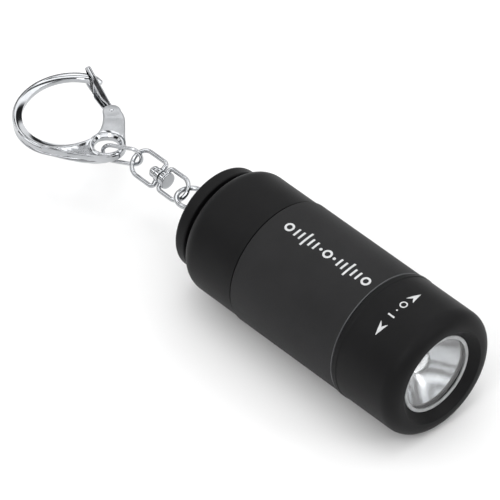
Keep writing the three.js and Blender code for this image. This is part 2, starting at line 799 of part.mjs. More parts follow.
// The bent bar from its nose round to the arm's foot, the thinner web that joins it to the eye and the arm, the eye's
// boss and the arm's knuckle.
function hookBody() {
  const boss = eyeRadius + eyeWall;
  const bar = new THREE.Shape([
    ...loopArc(noseAngle, barFootAngle, barWidth / 2, 20),
    ...loopArc(barFootAngle, noseAngle, -barWidth / 2, 20),
  ]);
  const web = new THREE.Shape([
    ...arcAbout(eyeX, eyeY, boss - webInset, 215, 340, 8),
    ...arcAbout(pivotX, pivotY, armRadius - webInset, -20, 100, 6),
    ...loopArc(barFootAngle, webStartAngle, 0, 10),
  ]);
  const arm = new THREE.Shape([
    ...arcAbout(eyeX + boss - armRadius, eyeY + armFoot, armRadius, 200, 330, 6),
    ...arcAbout(pivotX, pivotY, armRadius, -30, 150, 10),
  ]);
  let made = plate(web, webThickness)
    .subtract(barAlongZ(eyeRadius + eyeWall / 2, eyeX, eyeY, -hookThickness, hookThickness, bossSides))
    .add(plate(bar, hookThickness, hookBevel))
    .add(plate(arm, baseThickness, hookBevel))
    .subtract(barAlongZ(eyeRadius + eyeWall / 3, eyeX, eyeY, -baseThickness, baseThickness, bossSides))
    .add(bossAlongZ(boss, eyeRadius, eyeThickness, eyeX, eyeY))
    .add(bossAlongZ(armRadius, 0, baseThickness, pivotX, pivotY))
    .add(nose());
  const half = baseThickness / 2 + 1;
  const fork = barAlongZ(armRadius + 0.9, pivotX, pivotY, -forkSlot / 2, forkSlot / 2, bossSides);
  const pinHole = barAlongZ(pinRadius + 0.1, pivotX, pivotY, -half, half);
  made = made.subtract(fork).subtract(pinHole);
  const reach = gateLength + 1.4;
  const nearNose = onLoop(noseAngle, 0);
  const noseArea = block([nearNose.x - 4, nearNose.y - 6, -half], [nearNose.x + 6, nearNose.y + 5, half]);
  for (const side of [-1, 1]) {
    const [low, high] = side > 0 ? [noseThickness / 2, half] : [-half, -noseThickness / 2];
    const ring = barAlongZ(reach, pivotX, pivotY, low, high, shellSides).subtract(
      barAlongZ(reach - 5, pivotX, pivotY, low, high, shellSides),
    );
    made = made.subtract(ring.intersect(noseArea));
  }
  return made;
}

// The end of the bar narrows to a nose that passes out through the gate's slot.
function nose() {
  const [inner, outer] = [onLoop(noseAngle + 1, -barWidth / 2 + 0.1), onLoop(noseAngle + 1, barWidth / 2 - 0.1)];
  const tip = onLoop(noseAngle, 0).add(new THREE.Vector2(0.75, -1.9));
  const outline = new THREE.Shape([inner, tip.clone().add(new THREE.Vector2(-0.55, -0.3)), tip, outer]);
  return plate(outline, noseThickness - 0.2, 0.2, 6);
}

// The gate is a strip on edge that widens to its tip, where a slot passes the nose. It is drawn along +X from its
// pivot, then turned to its place.
function gateStrip() {
  const [root, tip] = [gateRootWidth / 2, gateTipWidth / 2];
  const start = armRadius + fit + 0.1;
  const corner = 0.9;
  const outline = new THREE.Shape();
  outline.moveTo(start, -root);
  outline.lineTo(gateLength - corner, -tip);
  outline.absarc(gateLength - corner, -tip + corner, corner, -Math.PI / 2, 0, false);
  outline.lineTo(gateLength, -gateSlotWidth / 2);
  outline.lineTo(gateSlotStart, -gateSlotWidth / 2);
  outline.lineTo(gateSlotStart, gateSlotWidth / 2);
  outline.lineTo(gateLength, gateSlotWidth / 2);
  outline.lineTo(gateLength, tip - corner);
  outline.absarc(gateLength - corner, tip - corner, corner, 0, Math.PI / 2, false);
  outline.lineTo(start, root);
  const web = plate(outline, gateThickness, 0, 5).rotate([90, 0, 0]).translate([0, -0.6, 0]);
  const slope = Math.atan2(tip - root, gateLength - start) / degrees;
  const flangeLength = gateSlotStart - 3.4;
  let strip = web;
  for (const side of [-1, 1]) {
    const flange = block([3.4, -0.6, -0.25], [3.4 + flangeLength, gateFlange - 0.6, 0.25]);
    const rise = root + (3.4 - start) * Math.tan(slope * degrees) - 0.3;
    const pivoted = flange.translate([-3.4, 0, 0]).rotate([0, -side * slope, 0]).translate([3.4, 0, side * rise]);
    strip = strip.add(pivoted);
  }
  return strip;
}

function hookGate() {
  const tongueLow = -forkSlot / 2 + 0.15;
  const tongueTop = tongueLow + gateTongue;
  const knuckle = barAlongZ(armRadius - 0.45, 0, 0, tongueLow, tongueTop, 20);
  const neck = block([0, -0.9, tongueLow], [3.2, 0.25, tongueTop]);
  const hole = barAlongZ(pinRadius + 0.12, 0, 0, -5, 5);
  const gate = gateStrip().add(knuckle).add(neck).subtract(hole);
  const springRoom = barAlongZ(armRadius + 0.2, 0, 0, tongueTop, forkSlot);
  return gate.subtract(springRoom).rotate([0, 0, gateAngle]).translate([pivotX, pivotY, 0]);
}

function gatePin() {
  return barAlongZ(pinRadius, pivotX, pivotY, -baseThickness / 2, baseThickness / 2);
}

// A small coil round the pin, beside the gate's tongue.
function gateSpring() {
  const coilRadius = pinRadius + 0.15 + springWire / 2;
  const rise = springWire * 1.15;
  const low = -forkSlot / 2 + fit + gateTongue + 0.12 + springWire / 2;
  const points = Array.from({ length: springTurns * 12 + 1 }, (_, i) => {
    const angle = (i / 12) * 2 * Math.PI;
    const height = low + (rise * i) / 12;
    return new THREE.Vector3(coilRadius * Math.cos(angle), coilRadius * Math.sin(angle), height);
  });
  const section = new THREE.Shape().absarc(0, 0, springWire / 2, 0, 2 * Math.PI);
  const geometry = new THREE.ExtrudeGeometry(section, {
    steps: points.length - 1,
    curveSegments: 3,
    bevelEnabled: false,
    extrudePath: new THREE.CatmullRomCurve3(points),
  });
  return solidOf(geometry).translate([pivotX, pivotY, 0]);
}

addPiece("hook_body", hookBody(), "chromed");
addPiece("gate_pin", gatePin(), "chromed");
addPiece("gate_spring", gateSpring(), "steel");
addPiece("hook_gate", hookGate(), "chromed");

// ---------- place on the ground ----------

// The widest ring of the head rests on z = 0 with a facet, and the origin is under the middle of the whole object.
const axisHeight = headLipRadius * Math.cos(Math.PI / shellSides);
const extent = new THREE.Box3().setFromObject(object);
const middle = extent.getCenter(new THREE.Vector3());
object.position.set(-middle.x, -middle.y, axisHeight);

export default object;
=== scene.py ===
# Keychain flashlight: satin black torch with a clear window, its swivel chain and snap hook in bright chrome.
# Metres, in the CAD part's frame: torch along Y, light towards -Y, hook towards +Y. The dictionaries hold millimetres
# and degrees, except the studio's, which holds metres.
import json
import math
import bmesh
import bpy
import numpy as np
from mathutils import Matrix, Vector


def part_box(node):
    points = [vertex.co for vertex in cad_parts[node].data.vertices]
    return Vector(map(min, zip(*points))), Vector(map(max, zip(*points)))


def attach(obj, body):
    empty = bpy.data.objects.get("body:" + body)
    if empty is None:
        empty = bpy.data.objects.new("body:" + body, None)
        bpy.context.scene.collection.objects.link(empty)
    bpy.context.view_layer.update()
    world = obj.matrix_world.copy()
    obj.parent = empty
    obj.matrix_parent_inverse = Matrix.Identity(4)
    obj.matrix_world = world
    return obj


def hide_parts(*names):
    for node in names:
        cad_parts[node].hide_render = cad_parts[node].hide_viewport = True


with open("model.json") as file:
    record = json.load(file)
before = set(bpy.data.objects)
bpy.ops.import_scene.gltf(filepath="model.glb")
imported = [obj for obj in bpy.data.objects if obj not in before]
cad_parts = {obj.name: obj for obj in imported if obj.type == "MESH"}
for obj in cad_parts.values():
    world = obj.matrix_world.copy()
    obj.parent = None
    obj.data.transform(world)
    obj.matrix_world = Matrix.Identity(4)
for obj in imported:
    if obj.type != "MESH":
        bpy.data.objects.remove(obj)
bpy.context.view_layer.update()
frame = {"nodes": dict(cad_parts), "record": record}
mm = 0.001


# A CAD node's low and high corners, in millimetres.
def boxOf(node):
    low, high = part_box(node)
    return np.array(low) / mm, np.array(high) / mm


# Where the record puts a joint, in millimetres.
def anchorOf(jointName):
    joints = frame["record"]["behaviour"]["joints"]
    return np.array(next(joint["pos_m"] for joint in joints if joint["name"] == jointName)) / mm


sleeveLow, sleeveHigh = boxOf("body_sleeve")
axisZ = (sleeveLow[2] + sleeveHigh[2]) / 2
onAxis = (0, 0, axisZ)
seamY = sleeveLow[1] - 0.12  # middle of the joint line between head and sleeve


# ---- surfaces: rows of points, one closed loop of points in each row ----

rounding = {"mostOfEdge": 0.46, "neighbourRoom": 1.15, "supportShare": 0.12}


# Joins each row to the next with quads. An open run of rows is closed at each end by a ladder of quads across its loop
# with a triangle at either tip. Gives the points, and blocks of faces with one face in each row.
def skin(rows, closed=False):
    rowCount, loopCount = rows.shape[:2]
    i, j = np.meshgrid(np.arange(rowCount if closed else rowCount - 1), np.arange(loopCount), indexing="ij")
    here, after, beside = i * loopCount, (i + 1) % rowCount * loopCount, (j + 1) % loopCount
    quads = np.stack([here + j, here + beside, after + beside, after + j], -1).reshape(-1, 4)
    if closed:
        return rows.reshape(-1, 3), [quads]
    middle = loopCount // 2
    k = np.arange(1, middle - 1)
    ladder = np.stack([k, k + 1, loopCount - 1 - k, loopCount - k], -1)
    tips = np.array([[0, 1, loopCount - 1], [middle - 1, middle, middle + 1]])
    last = (rowCount - 1) * loopCount
    return rows.reshape(-1, 3), [quads, ladder, tips, ladder + last, tips + last]


# Corners given as (a, b, radius) become arcs tangent to both edges: tangent length = radius / tan(half the corner's
# angle), with one more point a little way along each edge, so that flat faces stay flat in shading.
def roundedLoop(corners, steps=6, closed=True):
    corners = np.array(corners, float)
    count = len(corners)
    out = []
    for n in range(count):
        here, radius = corners[n, :2], corners[n, 2]
        if not closed and n in (0, count - 1) or radius <= 0:
            out.append(here[None])
            continue
        back, on = corners[n - 1, :2] - here, corners[(n + 1) % count, :2] - here
        backLength, onLength = np.linalg.norm(back), np.linalg.norm(on)
        back, on = back / backLength, on / onLength
        half = np.arccos(np.clip(back @ on, -1, 1)) / 2
        room = [
            max(rounding["mostOfEdge"] * length, length - rounding["neighbourRoom"] * corners[other % count, 2])
            for length, other in ((backLength, n - 1), (onLength, n + 1))
        ]
        reach = min(radius / math.tan(half), *room)
        radius = reach * math.tan(half)
        centre = here + (back + on) / np.linalg.norm(back + on) * radius / math.sin(half)
        startAt, endAt = here + back * reach - centre, here + on * reach - centre
        first, last = math.atan2(startAt[1], startAt[0]), math.atan2(endAt[1], endAt[0])
        turn = (last - first + math.pi) % (2 * math.pi) - math.pi
        angles = first + turn * np.linspace(0, 1, steps + 1)
        arc = centre + radius * np.stack([np.cos(angles), np.sin(angles)], -1)
        support = rounding["supportShare"] * reach
        out += [(arc[0] + back * support)[None], arc, (arc[-1] + on * support)[None]]
    return np.concatenate(out)


# A profile of (along, radius) points turned about an axis: point = centre + along * axis + radius * (cos a, sin a) in
# the two directions across it. A solid's profile starts and ends near the axis; a ring's profile is a loop.
def lathe(profile, centre=onAxis, axis="Y", sides=128, loop=True):
    angles = np.linspace(0, 2 * np.pi, sides, endpoint=False)
    along, radius = profile[:, 0][:, None], profile[:, 1][:, None]
    a, b = radius * np.cos(angles), radius * np.sin(angles)
    along = along + 0 * a
    order = {"Y": (a, along, b), "Z": (a, b, along)}[axis]
    return skin(np.stack(order, -1) + np.array(centre), closed=loop)


# Carries a closed section along a path: point = path + first * side + second * rise, where side = tangent x up and
# rise = side x tangent. The section is one loop, or one loop for each point of the path.
def sweep(path, section, up, closed=False):
    if closed:
        before, after = np.roll(path, 1, 0), np.roll(path, -1, 0)
    else:
        before, after = np.vstack([path[:1], path[:-1]]), np.vstack([path[1:], path[-1:]])
    tangent = after - before
    tangent = tangent / np.linalg.norm(tangent, axis=1, keepdims=True)
    side = np.cross(tangent, np.broadcast_to(up, path.shape))
    side = side / np.linalg.norm(side, axis=1, keepdims=True)
    rise = np.cross(side, tangent)
    section = np.broadcast_to(section, (len(path),) + section.shape[-2:])
    return skin(path[:, None] + side[:, None] * section[..., :1] + rise[:, None] * section[..., 1:], closed)


# A section between a circle and a box: |a / halfWidth| ^ power + |b / halfHeight| ^ power = 1.
def ovalSection(halfWidth, halfHeight, power=2.0, points=24):
    angles = np.linspace(0, 2 * np.pi, points, endpoint=False)
    c, s = np.cos(angles), np.sin(angles)
    across = halfWidth * np.sign(c) * np.abs(c) ** (2 / power)
    return np.stack([across, halfHeight * np.sign(s) * np.abs(s) ** (2 / power)], -1)


# A flat outline with a thickness and rounded edges, set out on directions u and v from an origin; its thickness runs
# along n from low to high. Each row is the outline moved in by bevel * (1 - cos a) and up by bevel * sin a.
def plate(outline, low, high, bevel, origin, u, v, n, steps=3):
    around = np.roll(outline, -1, 0) - np.roll(outline, 1, 0)
    around = around / np.maximum(np.linalg.norm(around, axis=1, keepdims=True), 1e-9)
    area = np.sum(outline[:, 0] * np.roll(outline[:, 1], -1) - outline[:, 1] * np.roll(outline[:, 0], -1))
    inward = np.stack([-around[:, 1], around[:, 0]], -1) * np.sign(area)
    angles = np.linspace(0, np.pi / 2, steps + 1)
    down = angles[::-1]
    lift = np.concatenate([low + bevel * (1 - np.sin(down)), high - bevel * (1 - np.sin(angles))])
    inset = np.concatenate([bevel * (1 - np.cos(down)), bevel * (1 - np.cos(angles))])
    flat = outline[None] + inward[None] * inset[:, None, None]
    rows = np.array(origin) + flat[..., :1] * np.array(u) + flat[..., 1:] * np.array(v) + lift[:, None, None] * np.array(n)
    points, (quads,) = skin(rows, closed=True)
    count, wall = len(outline), len(outline) * (len(rows) - 1)
    return points, [quads[:wall], np.arange(count)[None], np.arange(wall, wall + count)[None]]


# Makes one object from closed surfaces in millimetres, with its faces turned outwards.
def makePiece(name, surfaces, finish, body, replaced=(), smoothAngle=38):
    starts = np.cumsum([0] + [len(points) for points, blocks in surfaces])
    points = np.concatenate([points for points, blocks in surfaces]) * mm
    shifted = [block + start for start, (_, blocks) in zip(starts, surfaces) for block in blocks]
    mesh = bpy.data.meshes.new(name)
    mesh.from_pydata(points.tolist(), [], [face for block in shifted for face in block.tolist()])
    shape = bmesh.new()
    shape.from_mesh(mesh)
    bmesh.ops.dissolve_degenerate(shape, dist=1e-8, edges=shape.edges)
    bmesh.ops.recalc_face_normals(shape, faces=shape.faces)
    shape.to_mesh(mesh)
    shape.free()
    mesh.shade_smooth()
    mesh.set_sharp_from_angle(angle=math.radians(smoothAngle))
    piece = bpy.data.objects.new(name, mesh)
    bpy.context.scene.collection.objects.link(piece)
    mesh.materials.append(materials[finish])
    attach(piece, body)
    if replaced:
        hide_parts(*replaced)
    return piece


# Each face's middle in millimetres and its direction.
def faceData(mesh):
    centres, normals = np.zeros(len(mesh.polygons) * 3), np.zeros(len(mesh.polygons) * 3)
    mesh.polygons.foreach_get("center", centres)
    mesh.polygons.foreach_get("normal", normals)
    return centres.reshape(-1, 3) / mm, normals.reshape(-1, 3)


# ---- materials ----

# sRGB hex to linear: c / 12.92 up to 0.04045, else ((c + 0.055) / 1.055) ^ 2.4.
def hexToLinear(code):
    c = np.array([int(code[i : i + 2], 16) for i in (1, 3, 5)]) / 255
    linear = np.where(c <= 0.04045, c / 12.92, ((c + 0.055) / 1.055) ** 2.4)
    return (*linear.tolist(), 1.0)


# Adds a node with its settings; an input is either a constant or another node's output.
def addNode(tree, kind, settings=None, inputs=None):
    node = tree.nodes.new(kind)
    for key, value in (settings or {}).items():
        setattr(node, key, value)
    for key, value in (inputs or {}).items():
        if isinstance(value, bpy.types.NodeSocket):
            tree.links.new(value, node.inputs[key])
        else:
            node.inputs[key].default_value = value
    return node


noise = {
    "broad": {"Detail": 4.0, "Roughness": 0.55}, "fine": {"Detail": 6.0, "Roughness": 0.6},
    "span": {"From Min": 0.3, "From Max": 0.7},  # where the noise mostly lies, spread over the whole of a range
    "stretch": {"steelStampedBright": (1, 0.15, 1)},  # rolled grain, long towards the plug's mouth
}


# Broad noise in object space mixes two tones; fine noise sets the roughness and a shallow bump. Scale = 1 / size.
def surfaceMaterial(name, dark, light, broadSize, fineSize, roughLow, roughHigh, bump, depth, settings):
    material = bpy.data.materials.new(name)
    material.use_nodes = True
    tree = material.node_tree
    tree.nodes.clear()
    place = addNode(tree, "ShaderNodeTexCoord").outputs["Object"]
    stretch = noise["stretch"].get(name, (1, 1, 1))
    stretched = addNode(tree, "ShaderNodeVectorMath", {"operation": "MULTIPLY"}, {0: place, 1: stretch}).outputs[0]
    sized = [{"Vector": stretched, "Scale": 1 / (size * mm)} for size in (broadSize, fineSize)]
    broad = addNode(tree, "ShaderNodeTexNoise", None, {**sized[0], **noise["broad"]}).outputs["Fac"]
    fine = addNode(tree, "ShaderNodeTexNoise", None, {**sized[1], **noise["fine"]}).outputs["Fac"]
    tone = addNode(tree, "ShaderNodeMapRange", None, {"Value": broad, **noise["span"]}).outputs[0]
    tones = {0: tone, 6: hexToLinear(dark), 7: hexToLinear(light)}
    colour = addNode(tree, "ShaderNodeMix", {"data_type": "RGBA"}, tones).outputs[2]
    roughRange = {"Value": fine, **noise["span"], "To Min": roughLow, "To Max": roughHigh}
    rough = addNode(tree, "ShaderNodeMapRange", None, roughRange).outputs[0]
    relief = addNode(tree, "ShaderNodeBump", None, {"Height": fine, "Strength": bump, "Distance": depth * mm}).outputs[0]
    surface = {"Base Color": colour, "Roughness": rough, "Normal": relief, **settings}
    shader = addNode(tree, "ShaderNodeBsdfPrincipled", None, surface)
    addNode(tree, "ShaderNodeOutputMaterial", None, {"Surface": shader.outputs[0]})
    return material


metal = {"Metallic": 1.0}
plastic = {"IOR": 1.49}
satin, drier = {**plastic, "Specular IOR Level": 0.13}, {**plastic, "Specular IOR Level": 0.2}
epoxy = {"IOR": 1.55}
clearSilicone = {"IOR": 1.41, "Transmission Weight": 1.0}
clearPolycarbonate = {"IOR": 1.58, "Transmission Weight": 1.0}

# dark and light tone; broad and fine pattern, mm; roughness from and to; bump strength; bump depth, mm; shader settings
looks = {
    # satin mould texture, so that the black keeps a soft grey sheen instead of a shine
    "absMouldedSatin": ("#0F0F10", "#131314", 9, 0.16, 0.44, 0.56, 0.12, 0.02, satin),
    # a coarser spark-eroded grain, a shade lighter and drier than the black
    "absSparkErodedMatte": ("#1D1D1E", "#232324", 9, 0.2, 0.55, 0.68, 0.2, 0.02, drier),
    # the sleeve's front edge, smoother, with a lighter grey that is a painted highlight of the light the edge catches
    "absPaintedEdgeHighlight": ("#3C3D3F", "#4A4B4D", 2, 0.2, 0.35, 0.5, 0.05, 0.01, plastic),
    # polished clear window, almost free of marks
    "polycarbonatePolished": ("#F6F8F9", "#FFFFFF", 6, 1.5, 0.0, 0.02, 0.01, 0.005, clearPolycarbonate),
    # the window's moulded edge, left unpolished: it scatters light into a pale ring
    "polycarbonateFrosted": ("#8E9091", "#A9ABAC", 1.2, 0.15, 0.3, 0.45, 0.1, 0.02, {"IOR": 1.58}),
    # aluminium laid on a moulded cup: bright, slightly wavy
    "aluminiumVacuumCoated": ("#AEB0B2", "#C3C4C6", 3, 0.9, 0.16, 0.26, 0.02, 0.02, metal),
    # chromed castings and wire, polished over a faint orange peel
    "zincDieCastChromed": ("#A9ABAE", "#BCBEC1", 4, 1.1, 0.04, 0.1, 0.02, 0.03, metal),
    # the arm's face, tumbled before plating: reflections on it are soft and pale
    "zincDieCastTumbled": ("#A4A6A9", "#B7B9BC", 2.5, 0.25, 0.26, 0.36, 0.12, 0.03, metal),
    # the floor of the hook's trough keeps the grain of the casting, drawn coarser than real so that it shows
    "zincDieCastBlasted": ("#7A7C7F", "#A4A6A9", 0.9, 0.3, 0.2, 0.36, 0.7, 0.07, metal),
    # phosphor set in silicone: an even, chalky yellow
    "siliconePhosphorCast": ("#D8B63A", "#E6C94E", 0.8, 0.1, 0.4, 0.55, 0.05, 0.01, {"IOR": 1.41}),
    # the diode's dome: clear as water, a little soft on its surface
    "siliconeClearCast": ("#E9EBEC", "#F8F8F8", 2, 0.5, 0.02, 0.06, 0.01, 0.01, clearSilicone),
    # board lacquer: deep green, half gloss
    "epoxySolderMask": ("#1A5233", "#226040", 2, 0.3, 0.3, 0.45, 0.1, 0.01, epoxy),
    # contact faces: warm yellow metal
    "brassGoldFlashed": ("#C9994A", "#DCB061", 1, 0.2, 0.2, 0.32, 0.05, 0.01, metal),
    # cell cans and tabs: grey metal with a yellow cast
    "steelNickelPlated": ("#9C9D99", "#B2B3AF", 2, 0.3, 0.25, 0.4, 0.05, 0.01, metal),
    # seals: dull black rubber
    "nitrileMoulded": ("#101010", "#161616", 2, 0.2, 0.7, 0.85, 0.2, 0.02, {"IOR": 1.52}),
    # the carrier inside: plain dark moulding
    "absMouldedPlain": ("#232427", "#292A2D", 3, 0.3, 0.45, 0.6, 0.1, 0.02, plastic),
    # wrap round the cells: tight green film, slightly rippled
    "pvcShrunkFilm": ("#2B6247", "#33704F", 2, 0.6, 0.25, 0.4, 0.1, 0.02, {"IOR": 1.53}),
    # chip body: matte near-black
    "epoxyMouldedPackage": ("#141517", "#1B1C1E", 1, 0.1, 0.5, 0.65, 0.2, 0.01, epoxy),
    # small fired parts: dry tan
    "ceramicFired": ("#80623F", "#93724E", 0.8, 0.1, 0.5, 0.7, 0.1, 0.01, {"IOR": 1.6}),
    # charge lamp: tinted red, nearly glossy
    "epoxyTintedLens": ("#A8322A", "#C04034", 0.8, 0.2, 0.15, 0.25, 0.02, 0.01, epoxy),
    # plug shell: bright pressed steel with a rolled grain
    "steelStampedBright": ("#85878A", "#9A9C9F", 3, 0.25, 0.22, 0.36, 0.08, 0.01, metal),
    # the gate's spring: plain grey wire
    "steelDrawnWire": ("#85878A", "#A0A2A5", 1, 0.15, 0.2, 0.35, 0.05, 0.01, metal),
    # ink laid on by pad printing, thin and slightly uneven
    "inkPadPrinted": ("#BDBEBF", "#D2D3D4", 0.5, 0.12, 0.5, 0.65, 0.1, 0.01, {"IOR": 1.5}),
    # seamless studio paper: even, without shine
    "paperSeamless": ("#F2F2F2", "#F4F4F4", 60, 2, 0.8, 0.9, 0.02, 0.05, {"IOR": 1.45, "Specular IOR Level": 0.2}),
}
materials = {name: surfaceMaterial(name, *look) for name, look in looks.items()}
slotLooks = {
    "head_plastic": "absMouldedSatin", "barrel_plastic": "absSparkErodedMatte",
    "clear_plastic": "polycarbonatePolished", "mirror_coat": "aluminiumVacuumCoated",
    "phosphor": "siliconePhosphorCast", "board_green": "epoxySolderMask", "gold_contact": "brassGoldFlashed",
    "cell_nickel": "steelNickelPlated", "seal_rubber": "nitrileMoulded", "carrier_plastic": "absMouldedPlain",
    "cell_film": "pvcShrunkFilm", "chip_black": "epoxyMouldedPackage", "ceramic_tan": "ceramicFired",
    "lamp_red": "epoxyTintedLens", "plug_steel": "steelStampedBright", "chain_chrome": "zincDieCastChromed",
    "spring_steel": "steelDrawnWire",
}
for nodeObject in frame["nodes"].values():
    for materialSlot in nodeObject.material_slots:
        slotName = materialSlot.material.name.split(".")[0]
        if slotName in slotLooks:
            materialSlot.link = "OBJECT"
            materialSlot.material = materials[slotLooks[slotName]]
print("materials ready:", len(materials))


# ---- torch shells ----

shells = {
    "wall": 1.3, "lipRadius": 12.61, "lipLength": 0.9, "lipRamp": 0.22, "headRadius": 12.51, "headRounding": 2.7,
    "mouthRadius": 9.3, "mouthDepth": 1.45, "lensOpening": 7.8, "lensLedge": 0.7, "seatRadius": 8.9,
    "boreRadius": 9.0, "boreFront": 6, "boreRear": 3,
    "sleeveRadius": 12.46, "sleeveEdge": 0.2,
    "capRadius": 12.26, "capLength": 10.4, "capShoulder": 3.2, "grooveRadius": 8.9, "grooveWidth": 0.75,
    "discRadius": 10.22, "discThickness": 2.75, "discRounding": 0.9,
    "capBore": 9.9, "capBoreDepth": 10.2, "pocketRadius": 6.91, "pocketStart": 10.8, "pocketEnd": 0.5,
    "lugHalf": 0.8, "lugHole": 1.025, "lugWall": 0.85, "lugReach": 3.5, "lugRoot": 0.6, "lugFoot": 0.4, "lugBevel": 0.16,
    "nearAxis": 0.02, "sides": 192,
}


# Outside: a short raised lip at the joint line, a straight wall, a large rounding, the flat rim and the cone in to the
# window; inside: the window's seat and a plain bore. Corners are (y, radius, rounding).
def headShell(s):
    low, high = boxOf("head_shell")
    front, rear = low[1], high[1]
    mouth, ledge = front + s["mouthDepth"], front + s["mouthDepth"] + s["lensLedge"]
    lipFront, inner = rear - s["lipLength"], s["lipRadius"] - s["wall"]
    profile = roundedLoop([
        (rear, inner, 0.1), (rear, s["lipRadius"], 0.14), (lipFront, s["lipRadius"], 0.08),
        (lipFront - s["lipRamp"], s["headRadius"], 0.08), (front, s["headRadius"], s["headRounding"]),
        (front, s["mouthRadius"], 0.22), (mouth, s["lensOpening"], 0.12), (ledge, s["lensOpening"], 0.05),
        (ledge, s["seatRadius"], 0.1), (front + s["boreFront"], s["boreRadius"], 0.3), (rear - s["boreRear"], inner, 0.3),
    ], 10)
    shell = lathe(profile, sides=s["sides"])
    makePiece("headShellMoulded", [shell], "absMouldedSatin", "head", ["head_shell"])


# A plain tube with a small edge at each end; the front edge carries a painted highlight, a lighter grey.
def sleeveShell(s):
    front, rear, radius, edge = sleeveLow[1], sleeveHigh[1], s["sleeveRadius"], s["sleeveEdge"]
    inner = radius - s["wall"]
    profile = roundedLoop([(front, inner, 0.1), (front, radius, edge), (rear, radius, edge), (rear, inner, 0.1)], 8)
    shell = lathe(profile, sides=s["sides"])
    sleeve = makePiece("sleeveMoulded", [shell], "absSparkErodedMatte", "barrel", ["body_sleeve"])
    # painted highlight: the faces of the sleeve's front edge get a lighter grey in place of the light the edge catches
    # at the joint line
    sleeve.data.materials.append(materials["absPaintedEdgeHighlight"])
    centres, _ = faceData(sleeve.data)
    outwards = np.hypot(centres[:, 0], centres[:, 2] - axisZ)
    onEdge = (centres[:, 1] < front + edge - 0.01) & (outwards > radius - edge - 0.02)
    sleeve.data.polygons.foreach_set("material_index", onEdge.astype(np.int32))


# Outside: wall, shoulder, groove and disc; inside: a bore for the neck and a narrower pocket for the plug. The lug is
# a plate in two halves that meet in the middle of its hole, each a closed outline.
def capShell(s):
    low, _ = boxOf("tail_cap")
    front = low[1]
    shoulderRear = front + s["capLength"] + s["capShoulder"]
    discFront = shoulderRear + s["grooveWidth"]
    discRear, pocketEnd = discFront + s["discThickness"], discFront + s["pocketEnd"]
    profile = roundedLoop([
        (discRear, s["nearAxis"], 0), (discRear, s["discRadius"], s["discRounding"]), (discFront, s["discRadius"], 0.4),
        (discFront, s["grooveRadius"], 0.08), (shoulderRear, s["grooveRadius"], 0.08),
        (shoulderRear, s["capRadius"], s["capShoulder"]), (front, s["capRadius"], 0.16), (front, s["capBore"], 0.12),
        (front + s["capBoreDepth"], s["capBore"], 0.3), (front + s["pocketStart"], s["pocketRadius"], 0.1),
        (pocketEnd, s["pocketRadius"], 0.3), (pocketEnd, s["nearAxis"], 0),
    ], 10, closed=False)
    body = lathe(profile, sides=s["sides"], loop=False)
    side, root = s["lugHole"] + s["lugWall"], discRear - s["lugRoot"]

    # Points round the hole's middle: (reach + radius * sin a, radius * cos a).
    def lugArc(radius, angles):
        return np.stack([discRear + s["lugReach"] + radius * np.sin(angles), radius * np.cos(angles)], -1)

    lug = []
    outside = lugArc(side, np.linspace(0, np.pi / 2, 16))
    hole = lugArc(s["lugHole"], np.linspace(np.pi / 2, -np.pi / 2, 28))
    half = np.concatenate([[[root, side]], [[discRear + s["lugFoot"], side]], outside, hole, [[root, 0.0]]])
    for sign in (1, -1):
        halfOutline = half * (1, sign)
        lug.append(plate(halfOutline, -s["lugHalf"], s["lugHalf"], s["lugBevel"], onAxis, (0, 1, 0), (0, 0, 1), (1, 0, 0)))
    makePiece("capMoulded", [body] + lug, "absMouldedSatin", "cap", ["tail_cap"])


headShell(shells)
sleeveShell(shells)
capShell(shells)
print("torch shells ready")


# ---- light: window, reflector and diode ----

light = {
    "windowRadius": 7.66, "windowCrown": 0.12, "windowEdge": 0.15, "windowStep": 0.85, "flangeRadius": 8.65,
    "rimInner": 7.05, "rimGrow": 0.06, "rimDepth": 0.5,
    "cupMouth": 7.05, "cupHole": 2.55, "cupLip": 0.25, "cupFlange": 8.6, "cupFlangeDepth": 0.7, "cupSkin": (0.55, 0.5),
    "ringRise": 0.12, "ringCount": 3.5, "ringPitch": 0.36,
    "domeRadius": 2.35, "domeHeight": 1.8, "domeHollow": (2.0, 1.35), "nearAxis": 0.02,
}


# Window: front = crown * (r / radius)^2, then a stepped flange behind the opening, with a pale ring round its edge.
def windowParts(s):
    low, high = boxOf("lens")
    front, rear, radius = low[1], high[1], s["windowRadius"]
    radii = np.linspace(s["nearAxis"], radius - 2 * s["windowEdge"], 24)
    crown = np.stack([front + s["windowCrown"] * (radii / radius) ** 2, radii], -1)
    crowned, step = front + s["windowCrown"], front + s["windowStep"]
    edge = roundedLoop([
        (crowned, radius - 0.25, 0), (crowned + 0.02, radius, s["windowEdge"]), (step, radius, 0.05),
        (step, s["flangeRadius"], 0.05), (rear, s["flangeRadius"], 0.1), (rear, s["nearAxis"], 0),
    ], 4, closed=False)
    window = lathe(np.concatenate([crown, edge]), loop=False)
    makePiece("windowClear", [window], "polycarbonatePolished", "head", ["lens"])
    rimFront, rimRear, rimOuter = front - s["rimGrow"], front + s["rimDepth"], radius + s["rimGrow"]
    rim = roundedLoop([
        (rimFront, s["rimInner"], 0.1), (rimFront, rimOuter, 0.12), (rimRear, rimOuter, 0.1), (rimRear, s["rimInner"], 0.1),
    ], 5)
    makePiece("windowRim", [lathe(rim)], "polycarbonateFrosted", "head")


